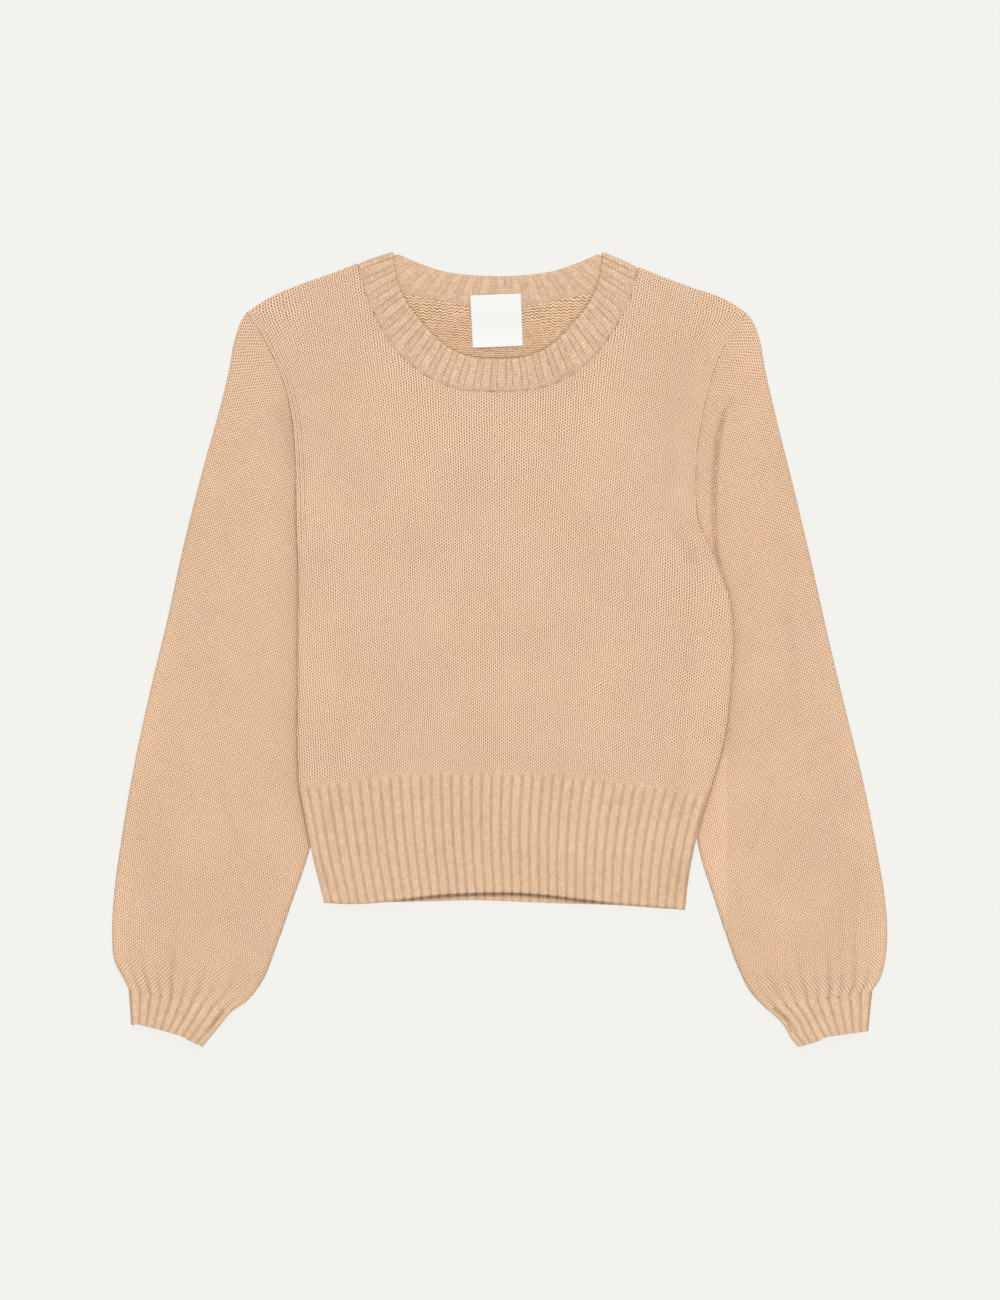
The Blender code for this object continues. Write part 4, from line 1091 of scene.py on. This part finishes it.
def over_cuff(side, x, y):
    """Height over the cuff's seam, and place across the sleeve there from its inner fold."""
    start, end = SLEEVE_INNER[side][0], SLEEVE_OUTER[side][0]
    slope = (end[1] - start[1]) / (end[0] - start[0])
    rows = np.linspace(0, 80, 81)
    reach = []
    for table in (SLEEVE_INNER, SLEEVE_OUTER):
        line = drawn(table[side], 1.0)
        reach.append(np.interp(rows, line[:, 1] - start[1] - slope * (line[:, 0] - start[0]),
                               line[:, 0]))
    up = np.clip(y - start[1] - slope * (x - start[0]), 0, 80)
    inner, outer = np.interp(up, rows, reach[0]), np.interp(up, rows, reach[1])
    return up, (x - inner) / (outer - inner)


def gathered(side, x, y, wide):
    """Depth of the gathers over the cuff, and height over the cuff's seam."""
    up, share = over_cuff(side, x, y)
    share = share + 0.0004 * up * np.sin(8.0 * share + side)
    return sum(depth * np.exp(-((share - at) / wide) ** 2 - (up / run) ** 1.5)
               for at, depth, run in GATHERS), up


def sleeve_level(side, fold, part, wall):
    """Height of a sleeve's face: part 1 for the top layer and -1 for the one on the floor."""
    def height(plan, st, room):
        x, y = plan.T
        near = rounded(fold.near(plan)[0])
        if part < 0:
            return BODY_MID - (BODY_MID - wall) * near
        out = past_body(side, x, y)
        v = np.clip((y + 300.0) / 586.0, 0, 1)
        full = BALLOON * ease((out - 10.0) / 24.0) * ease((1 - v) / 0.4) * ease(v / 0.05)
        # It sinks beside the body, most of all into the armhole's seam.
        sewn = ease((y - ARMPIT[side] + 4.0) / 12.0)
        if side < 0:
            dip = 1.3 * np.exp(-(out / 9.0) ** 2) * ease((240.0 - y) / 52.0)
        else:
            dip = 0.7 * np.exp(-(out / 5.0) ** 2) * ease((98.0 - y) / 24.0)
        dip = dip + 0.2 * sewn * np.exp(-(out / 1.8) ** 2)
        creases = sum(depth * along_fold(plan, line, wide)
                      for depth, wide, line in SLEEVE_FOLDS[side])
        level = BODY_TOP + full - dip - creases - gathered(side, x, y, 0.019)[0]
        if wall:
            level = np.maximum(level, WALL + 0.3 + wall)  # the layers never touch inside
        return BODY_MID + (level - BODY_MID - wall) * near
    return height


def sleeve_shade(side):
    """Painted shade beside the body, in the creases and between the gathers, and painted
    light along the outer fold and just over the cuff.
    """
    def shade(points, st):
        plan = points[:, :2]
        x, y = plan.T
        out = past_body(side, x, y)
        # Painted shade on the sleeve beside the body's edge.
        low = 0.3 + 0.7 * ease((ARMPIT[side] + 135.0 * (side < 0) - y) / 30.0)
        tone = 1 - low * (0.1 * np.exp(-(out / 3.0) ** 2) + 0.06 * np.exp(-(out / 13.0) ** 2))
        # Painted light along the outer fold.
        fold_side = np.interp(y, *drawn(SLEEVE_OUTER[side], 2.0).T[::-1]) - x
        tone = tone + 0.05 * np.exp(-(fold_side / 9.0) ** 2) * ease((60.0 - y) / 80.0)
        # Painted shade along the crease by the armhole and along the other folds.
        for depth, wide, line in SLEEVE_FOLDS[side]:
            if depth > 2.0:
                tone = tone - 0.27 * along_fold(plan, line, 2.0)
            elif depth > 0:
                tone = tone - 0.05 * depth * along_fold(plan, line, 0.8 * wide)
        gathers, up = gathered(side, x, y, 0.017)
        # Painted shade between the gathers over the cuff, and painted light just over the cuff's
        # seam.
        tone = tone - 0.26 * gathers + (0.11 if side > 0 else 0.085) * np.exp(-up / 30.0)
        if side < 0:
            # Painted shade in a broad soft band beside the right armhole.
            soft = [(187.0, 212.0), (179.0, 180.0), (174.0, 145.0)]
            return tone - 0.07 * along_fold(plan, soft, 8.0)
        # On the rolled strip, painted shade draws the wales' grooves as slanting lines, and its
        # lower end is lighter.
        rolled = (x < np.interp(y, *np.array(SLEEVE_FOLDS[1][0][2])[::-1].T[::-1])) & (y < 214.0)
        pale = 0.09 * ease((150.0 - y) / 40.0)
        return tone + rolled * (pale - 0.14 * (y > 70.0) * wale_groove(st, 0.14))
    return shade


sleeve_face = stockinette("cashmere_stockinette_sleeve", "#FCD9B8", "#7F5334", 0.88)
# The same knitting rolled over beside the armhole, where painted shade draws its grooves as whole
# lines.
rolled_face = stockinette("cashmere_stockinette_rolled", "#FAD7B6", "#7A5131", 0.66, ends=0.3)


def flat_tube(name, side, uppers, edge, loop, runs, fold, stitch_of, st, level, looks, shade,
              **spacing):
    """A tube of cloth laid flat under its upper faces, and walled where it is open. Its loop
    has four runs of points: an open end, a fold, the other end and the other fold."""
    ends = np.cumsum(runs)
    number = np.arange(ends[-1])
    open_at = (number < ends[0]) | ((number >= ends[1]) & (number < ends[2]))
    loop_in = drawn_in(loop, fold, EDGE_WALL)
    fold_in = Guide(loop_in[ends[0]:ends[1] + 1], closed(loop_in)[ends[2]:])
    lower = plain_skin(loop, stitch_of, level(fold, -1, 0.0), True, **spacing)
    upper_in = plain_skin(loop_in, stitch_of, level(fold_in, 1, WALL), True, **spacing)
    lower_in = plain_skin(loop_in, stitch_of, level(fold_in, -1, WALL), **spacing)
    made = sew(name, [(upper, 2 * k) for k, upper in enumerate(uppers)] + [
        (lower, 0), (upper_in, 1), (lower_in, 1), (rim(upper_in[3], edge, st, open_at), 0),
        (rim(lower[3], lower_in[3], st, open_at), 0)], looks, side < 0, shade)
    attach(made, ROOT)
    return made


# The rolled strip's middle, the ways its wales and courses run, and the size of its stitches.
ROLL_MIDDLE = np.array([174.0, 150.0])
ROLL_WAYS = np.array([[0.616, 0.788], [0.788, -0.616]])
ROLL_STITCH = np.array([3.9, 2.7])


def roll_of(points):
    """Wale and course on the rolled strip beside the left sleeve's armhole."""
    return (points - ROLL_MIDDLE) @ ROLL_WAYS.T / ROLL_STITCH


def roll_place(s, t):
    """Plan points of wales and courses on the rolled strip."""
    return ROLL_MIDDLE + np.stack([s, t], axis=-1) * ROLL_STITCH @ ROLL_WAYS


for side, word in ((-1, "right"), (1, "left")):
    field = SleeveField(side)
    outer, inner = drawn(SLEEVE_OUTER[side], STEP), drawn(SLEEVE_INNER[side], STEP)
    arm = drawn(ARM_EDGE[side], STEP) + [0.15, 0.0]
    arm[0], arm[-1] = inner[-1], outer[-1]
    wrist = spaced(np.array([inner[0], outer[0]]), 1.1)
    loop = loop_of(wrist, outer, arm[::-1], inner[::-1])
    runs = [len(run) - 1 for run in (wrist, outer, arm, inner)]
    fold = Guide(outer, inner[::-1])
    top = sleeve_level(side, fold, 1, 0.0)

    def sleeve_upper(plan, st, room):
        """The sleeve's knit side, smoother by its folds and where the cuff gathers it."""
        near = np.clip(fold.near(plan)[0] / 3.0, 0, 1)
        near = near * (0.4 + 0.6 * ease(over_cuff(side, *plan.T)[0] / 40.0))
        return top(plan, st, room) + stitch_height(st) * ease(room / 1.2) * near

    lines = stitch_lines(field.place, (-3, 54), (-135, 130))
    if side < 0:
        uppers = [skin(loop, field.of, lines, sleeve_upper)]
    else:
        # Here the cloth rolls over between the armhole and a crease, so its wales turn aside.
        top_end = int(np.argmax(arm[:, 1] > 222.0))
        crease = spaced(curve([arm[top_end], (187.0, 211.0), (189.3, 196.0), (185.7, 176.4),
                               (182.8, 141.5), (182.3, 106.7), (182.4, 92.0), arm[0]],
                              np.linspace(0, 1, 400)), STEP)
        crease[0], crease[-1] = arm[top_end], arm[0]
        rest = loop_of(wrist, outer, arm[:top_end - 1:-1], crease, inner[::-1])
        uppers = [skin(rest, field.of, lines, sleeve_upper),
                  skin(loop_of(arm[:top_end + 1], crease), roll_of,
                       stitch_lines(roll_place, (-20, 20), (-20, 22)), sleeve_upper)]
    edge = np.column_stack([loop, sleeve_upper(loop, field.of(loop), np.zeros(len(loop)))])
    sleeve = flat_tube(f"sleeve_{word}_cloth", side, uppers, edge, loop, runs, fold, field.of,
                       field.of(loop), lambda *layer: sleeve_level(side, *layer),
                       [sleeve_face, purl_face, rolled_face], sleeve_shade(side))
    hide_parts(f"sleeve_{word}")

# ---- cuffs ---------------------------------------------------------------------------------
# Narrow ribbed cuffs pull the sleeves in. Each is a short tube of ten ribs laid flat, and its
# ribs fan from upright at the outer side to slanting at the inner one.
CUFF_END = {-1: [(252.4, -338.7), (313.2, -320.0)], 1: [(253.7, -338.7), (313.6, -325.1)]}
CUFF_RIBS = 10
CUFF_DEPTH = 32.0
# How far each cuff's end is drawn up across it, from its inner fold to its outer one.
CUFF_BOW = {-1: [(0, 0), (0.2, 2.2), (0.4, 3.8), (0.7, 3.2), (1, 0)],
            1: [(0, 0), (0.17, 0.5), (0.42, 3.0), (0.71, 1.5), (1, 0)]}


def cuff_level(fold, part, wall):
    """Height of a cuff's plain face: part 1 for the top layer, -1 for the lower one."""
    def height(plan, st, room):
        return BODY_MID + part * (BODY_MID - wall) * rounded(fold.near(plan)[0])
    return height


for side, word in ((-1, "right"), (1, "left")):
    ends = np.array([CUFF_END[side], [SLEEVE_INNER[side][0], SLEEVE_OUTER[side][0]]])
    u, w = np.meshgrid(rib_columns(CUFF_RIBS), np.linspace(0, 1, 27))

    def cuff_place(u, w):
        """Plan points of the cuff: u from its inner fold, w up from its end."""
        inner = (1 - w[..., None]) * ends[0, 0] + w[..., None] * ends[1, 0]
        outer = (1 - w[..., None]) * ends[0, 1] + w[..., None] * ends[1, 1]
        made = inner + u[..., None] * (outer - inner)
        pinched = 3.4 * (side > 0) * np.sin(np.pi * np.minimum((1 - w) / 0.75, 1.0))
        made[..., 0] += pinched * (1 - ease(u / 0.5))
        bow = curve(CUFF_BOW[side], np.linspace(0, 1, 200)).T
        made[..., 1] += np.interp(u, *bow) * (1 - w) ** 2
        return made

    plan = cuff_place(u, w)
    st = np.stack([u * CUFF_RIBS, (w - 1) * CUFF_DEPTH / COURSE - 4.0], axis=-1)
    fold = Guide(plan[:, -1], plan[::-1, 0])
    near = fold.near(plan.reshape(-1, 2))[0].reshape(u.shape)
    up, down = w * CUFF_DEPTH, (1 - w) * CUFF_DEPTH
    relief = (rib_height(st, 0.8) - 0.4) * np.clip(near / 4.0, 0, 1) * (0.3 + 0.7 * ease(down / 6))
    relief = relief * (0.7 + 0.3 * ease(up / 5))
    # The inner fold stands open a little: a deep line with the lower layer beyond it.
    inner_line = cuff_place(np.array([0.058, 0.065, 0.055]), np.array([1.06, 0.7, 0.25]))
    open_fold = along_fold(plan.reshape(-1, 2), inner_line, 1.1).reshape(u.shape)
    relief = relief - 1.6 * open_fold * np.clip(near, 0, 1)
    relief = relief - 0.15 * (1 - rounded(up, 2.0)) * np.clip(near / 4.0, 0, 1)
    level = BODY_MID * rounded(near) + BODY_MID + relief
    upper = grid_skin(np.dstack([plan, level]), st)
    loop = border(plan)
    runs = [u.shape[1] - 1, u.shape[0] - 1] * 2
    wide = np.linalg.norm(ends[0, 1] - ends[0, 0])

    def cuff_stitch(points):
        """Rib and course of points on the cuff's plain faces."""
        away = points - ends[0, 0]
        return np.stack([away[:, 0] / wide * CUFF_RIBS, away[:, 1] / COURSE], axis=1)

    def cuff_shade(points, st):
        """Painted shade in the open fold and in the ribs' hollows, over a tone slightly lighter
        than the yarn's.
        """
        hollow = ease((st[:, 0] % 1.0 - 0.66) / 0.08)
        fold_line = along_fold(points[:, :2], inner_line, 0.9)
        return 1.03 - (0.35 * fold_line + 0.05 * hollow) * (points[:, 2] > BODY_MID)

    cuff = flat_tube(f"cuff_{word}_cloth", side, [upper], upper[3], loop, runs, fold,
                     cuff_stitch, border(st), cuff_level, [rib_face, rib_face], cuff_shade,
                     gap=7.0, rings=(1.3, 3.0))
    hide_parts(f"cuff_{word}")

# ---- neckband ------------------------------------------------------------------------------
# A doubled rib band: a wide plain rib, then three fine ridges, all round the neck. Its front
# half lies over the back one and turns over at the shoulders, and a linking seam holds it.
BAND_WALL = 3.0  # thickness of the doubled band
BAND_FRONT_LOW = 3.7  # height of its front half's underside
BAND_TURN = 3.7  # how far in from its end the band turns over at a shoulder
BAND_COURSES = 11.0  # courses from its seam to its edge
WIDE_RIB = 0.6  # share of each rib that is flat, before its ridges
NECK_RIBS = {"front": 24, "back": 15}
# Ribs are counted from 0 along the front, and on along the back after one for the turn.
BACK_STARTS = 25.0
NECK_EDGE_FRONT = [(89.2, 337.4), (87.5, 323.4), (84.1, 308.1), (76.5, 292.8),
                   (63.8, 276.7), (49.3, 261.4), (34.0, 251.6), (17.0, 246.9), (0.0, 246.1)]
NECK_EDGE_BACK = [(89.2, 337.4), (68.4, 328.2), (47.6, 321.2), (21.2, 317.5), (0.0, 316.6)]
RIDGE_STEPS = np.r_[0.0, 0.03, 0.07, 0.3, 0.53, 0.57, np.linspace(0.6, 0.967, 12)]
BAND_ACROSS = np.array([0.0, 0.025, 0.06, 0.1, 0.15, 0.25, 0.4, 0.55, 0.7, 0.83, 0.91, 0.96,
                        0.985, 1.0])
BAND_THICK = np.interp(BAND_ACROSS, [0, 0.025, 0.1, 0.25, 0.88, 0.96, 0.985, 1],
                       [0.36, 0.5, 0.76, 1, 1, 0.85, 0.65, 0.3]) * BAND_WALL / 2


def evenly(points, t):
    """Points at shares t of a line's length."""
    far = lengths(points)
    at = np.clip(t, 0, 1) * far[-1]
    return np.stack([np.interp(at, far, points[:, k]) for k in (0, 1)], axis=-1)


def ridge_height(a):
    """Relief along the band: a flat wide rib, then three fine ridges."""
    fine = 0.5 - 0.5 * np.cos(2 * np.pi * 3 * (a - WIDE_RIB) / (1 - WIDE_RIB))
    flat = min(1.0, a / 0.06, (WIDE_RIB - a) / 0.06)
    return -0.2 + (0.5 * fine if a > WIDE_RIB else 0.2 * flat)


def band_grid():
    """Closed sections round the band, and each point's place on the stitch map."""
    front_mid, back_mid = BAND_FRONT_LOW + BAND_WALL / 2, BAND_WALL / 2
    middle, half = (front_mid + back_mid) / 2, (front_mid - back_mid) / 2
    seams = {"front": whole_neck(NECK_SEAM_FRONT), "back": whole_neck(NECK_SEAM_BACK)[::-1]}
    edges = {"front": whole_neck(NECK_EDGE_FRONT), "back": whole_neck(NECK_EDGE_BACK)[::-1]}
    foot = {1: seams["front"][-1], -1: seams["front"][0]}
    peak = {1: edges["front"][-1], -1: edges["front"][0]}
    stations = []
    # Each half's name, the shares of it that turn over and that lie smooth at its ends, the
    # number of its first rib, and the way it faces.
    for word, turn_share, smooth, first, sign in (("front", 0.018, 0.018, 0.0, 1),
                                                  ("back", 0.03, 0.16, BACK_STARTS, -1)):
        ribs = NECK_RIBS[word]
        turns = np.r_[(np.arange(ribs)[:, None] + RIDGE_STEPS).ravel(), ribs]
        shares = turn_share + turns / ribs * (1 - 2 * turn_share)
        s, e = evenly(seams[word], shares), evenly(edges[word], shares)
        toward = (e - s) / np.linalg.norm(e - s, axis=1)[:, None]
        near_end = np.minimum(shares, 1 - shares)
        s = s + toward * (0.5 * np.exp(-near_end * 25) - 0.4)[:, None]
        level = front_mid if word == "front" else back_mid
        calm = ease((near_end - smooth) / 0.02)
        for k, turn in enumerate(turns):
            stations.append((s[k], e[k], level, np.array([0.0, 0.0, sign]), first + turn,
                             calm[k] * ridge_height(turn % 1.0), word))
        # The turn over the shoulder, from one half's level to the other's.
        along = (peak[sign] - foot[sign]) / np.linalg.norm(peak[sign] - foot[sign])
        out = np.array([-along[1], along[0]]) * -sign
        for step in np.linspace(0, 1, 9)[1:-1]:
            angle = step * np.pi if sign > 0 else (1 - step) * np.pi
            path = out * ((BAND_TURN - BAND_WALL / 2) * math.sin(angle) - BAND_TURN)
            stations.append((foot[sign] + along * (0.7 + 2.6 * angle / np.pi) + path,
                             peak[sign] + path, middle + half * math.cos(angle),
                             np.array([*(out * math.sin(angle)), math.cos(angle)]),
                             first + ribs + step, 0.0, word))
    last = BACK_STARTS + NECK_RIBS["back"] + 1
    stations.append((*stations[0][:4], last, *stations[0][5:]))
    points, st = [], []
    edge_fade = ease(BAND_ACROSS / 0.13) * ease((1.01 - BAND_ACROSS) / 0.06)
    for s, e, level, normal, turn, ridge, word in stations:
        flat = np.column_stack([s + np.outer(BAND_ACROSS, e - s), np.full(len(BAND_ACROSS), level)])
        outside = BAND_THICK + (ridge if word == "front" else 0.0) * edge_fade
        inside = BAND_THICK + (ridge * 0.7 if word == "back" else 0.0) * edge_fade
        ring = np.vstack([flat + normal * outside[:, None],
                          (flat - normal * inside[:, None])[::-1], flat[:1] + normal * outside[0]])
        across = np.r_[BAND_ACROSS, BAND_ACROSS[::-1], 0.0] * -BAND_COURSES
        points.append(ring)
        st.append(np.column_stack([np.full(len(across), turn), across]))
    return np.array(points), np.array(st)


# Colour levels across a neck rib: the lower ones are painted shade in the lines beside its wide rib
# and between its fine ridges.
band_face = ribbing("cashmere_neck_rib", "#F9D8B8", "#70492B", 0.96, [
    (0.0, 0.38), (0.02, 0.48), (0.055, 0.88), (0.545, 0.88), (0.58, 0.48), (0.61, 0.38),
    (0.65, 1.0), (0.69, 1.0), (0.733, 0.66), (0.78, 1.0), (0.82, 1.0), (0.867, 0.66),
    (0.91, 1.0), (0.955, 1.0)], 4.2, 1 / 7, 0.4, (-0.6, -3.0))
back_band_face = ribbing("cashmere_neck_rib_inside", "#F7D5B5", "#70492B", 0.9, [
    (0.0, 0.5), (0.04, 0.87), (0.55, 0.87), (0.61, 0.5), (0.65, 0.97), (0.733, 0.68),
    (0.8, 0.97), (0.867, 0.68), (0.93, 0.97)], 4.2, 1 / 7, 0.4, (-0.6, -3.0))


def band_shade(points, st):
    """Painted shade in short dashes along the linking seam under each group of ridges on the front.
    """
    across, turn = -st[:, 1], st[:, 0]
    dash = ease(((turn % 1.0) - 0.5) / 0.12) * ease((1.04 - turn % 1.0) / 0.12)
    deep = 0.2 + 0.8 * np.sin(np.floor(turn) * 2.4) ** 2
    return 1 - 0.4 * dash * deep * (turn < BACK_STARTS) * np.exp(-(across / 0.45) ** 2)


# The sections run so that their faces point inwards, and are turned round here.
band_points, band_st, band_faces, _ = grid_skin(*band_grid(), down=True)
behind = band_st[band_faces].mean(axis=1)[:, 0] > BACK_STARTS
neckband = sew("neckband_cloth", [((band_points, band_st, band_faces[~behind], None), 0),
                                  ((band_points, band_st, band_faces[behind], None), 1)],
               [band_face, back_band_face], shade=band_shade)
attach(neckband, ROOT)
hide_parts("neckband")
band_cut = sum(square_metres(np.vstack([whole_neck(seam), whole_neck(edge)[::-1]]))
               for seam, edge in ((NECK_SEAM_FRONT, NECK_EDGE_FRONT),
                                  (NECK_SEAM_BACK, NECK_EDGE_BACK)))

# ---- neck label ----------------------------------------------------------------------------
# A square of white woven satin, its edges turned under, tacked at its corners to the band's
# seam and the back panel. It is bare.
LABEL_CORNERS = [(-25.1, 300.1), (18.3, 301.8), (20.0, 257.1), (-22.9, 255.4)]
LABEL_SIDE = 44.0
LABEL_WALL = 0.7


def label_grid(low):
    """The label's upper or lower face: over the panel, then up over the band."""
    steps = np.r_[0.0, 0.012, 0.03, np.linspace(0.06, 0.94, 15), 0.97, 0.988, 1.0]
    u, v = np.meshgrid(steps, steps)
    a, b, c, d = (np.array(p) for p in LABEL_CORNERS)
    u3, v3 = u[..., None], v[..., None]
    plan = (1 - v3) * ((1 - u3) * d + u3 * c) + v3 * ((1 - u3) * a + u3 * b)
    level = WALL + 0.45 + 1.65 * ease((v - 0.36) / 0.3)
    # Its lower edge stands off the panel between the tacks, and the rest waves slightly.
    level = level + 0.5 * (1 - ease(v / 0.12)) * ease(u / 0.12) * ease((1 - u) / 0.12)
    level = level + 0.12 * np.sin(u * 7.0 + v * 2.0)
    edge = np.minimum(np.minimum(u, 1 - u), np.minimum(v, 1 - v)) * LABEL_SIDE
    thick = LABEL_WALL * (0.35 + 0.65 * rounded(edge, 1.2)) - 0.12 * ease((edge - 2.2) / 0.6)
    return np.dstack([plan, level if low else level + thick]), np.dstack([u, v]) * LABEL_SIDE


# Woven polyester satin, bright white: fine threads across, a soft sheen along them.
satin, tree, out = fresh("label_satin")
uv = add(tree, "ShaderNodeUVMap", uv_map="stitches")
parts = add(tree, "ShaderNodeSeparateXYZ", {0: uv})
# Threads about 0.7 mm apart, coarser than the 0.1 mm of real satin so that they show.
weft = half_wave(tree, parts.outputs[1], 1.4)
warp = half_wave(tree, parts.outputs[0], 1.1)
weave = add(tree, "ShaderNodeMath", {0: warp, 1: 0.35, 2: weft}, operation="MULTIPLY_ADD")
shade = add(tree, "ShaderNodeMix", {
    "Factor": weave, 6: linear("#E1E2E0"), 7: linear("#E8E9E7")}, data_type="RGBA")
bump = add(tree, "ShaderNodeBump", {"Strength": 0.25, "Distance": 0.0001, "Height": weave})
shader = add(tree, "ShaderNodeBsdfPrincipled", {
    "Base Color": shade.outputs[2], "Normal": bump, "Roughness": 0.55,
    "Specular IOR Level": 0.35, "Sheen Weight": 0.1})
tree.links.new(shader.outputs["BSDF"], out.inputs["Surface"])

upper_points, label_st = label_grid(False)
lower_points, _ = label_grid(True)
upper, lower = grid_skin(upper_points, label_st), grid_skin(lower_points, label_st, down=True)
label = sew("neck_label_cloth", [(upper, 0), (lower, 0),
                                 (rim(lower[3], upper[3], border(label_st)), 0)], [satin])
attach(label, ROOT)
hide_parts("neck_label")
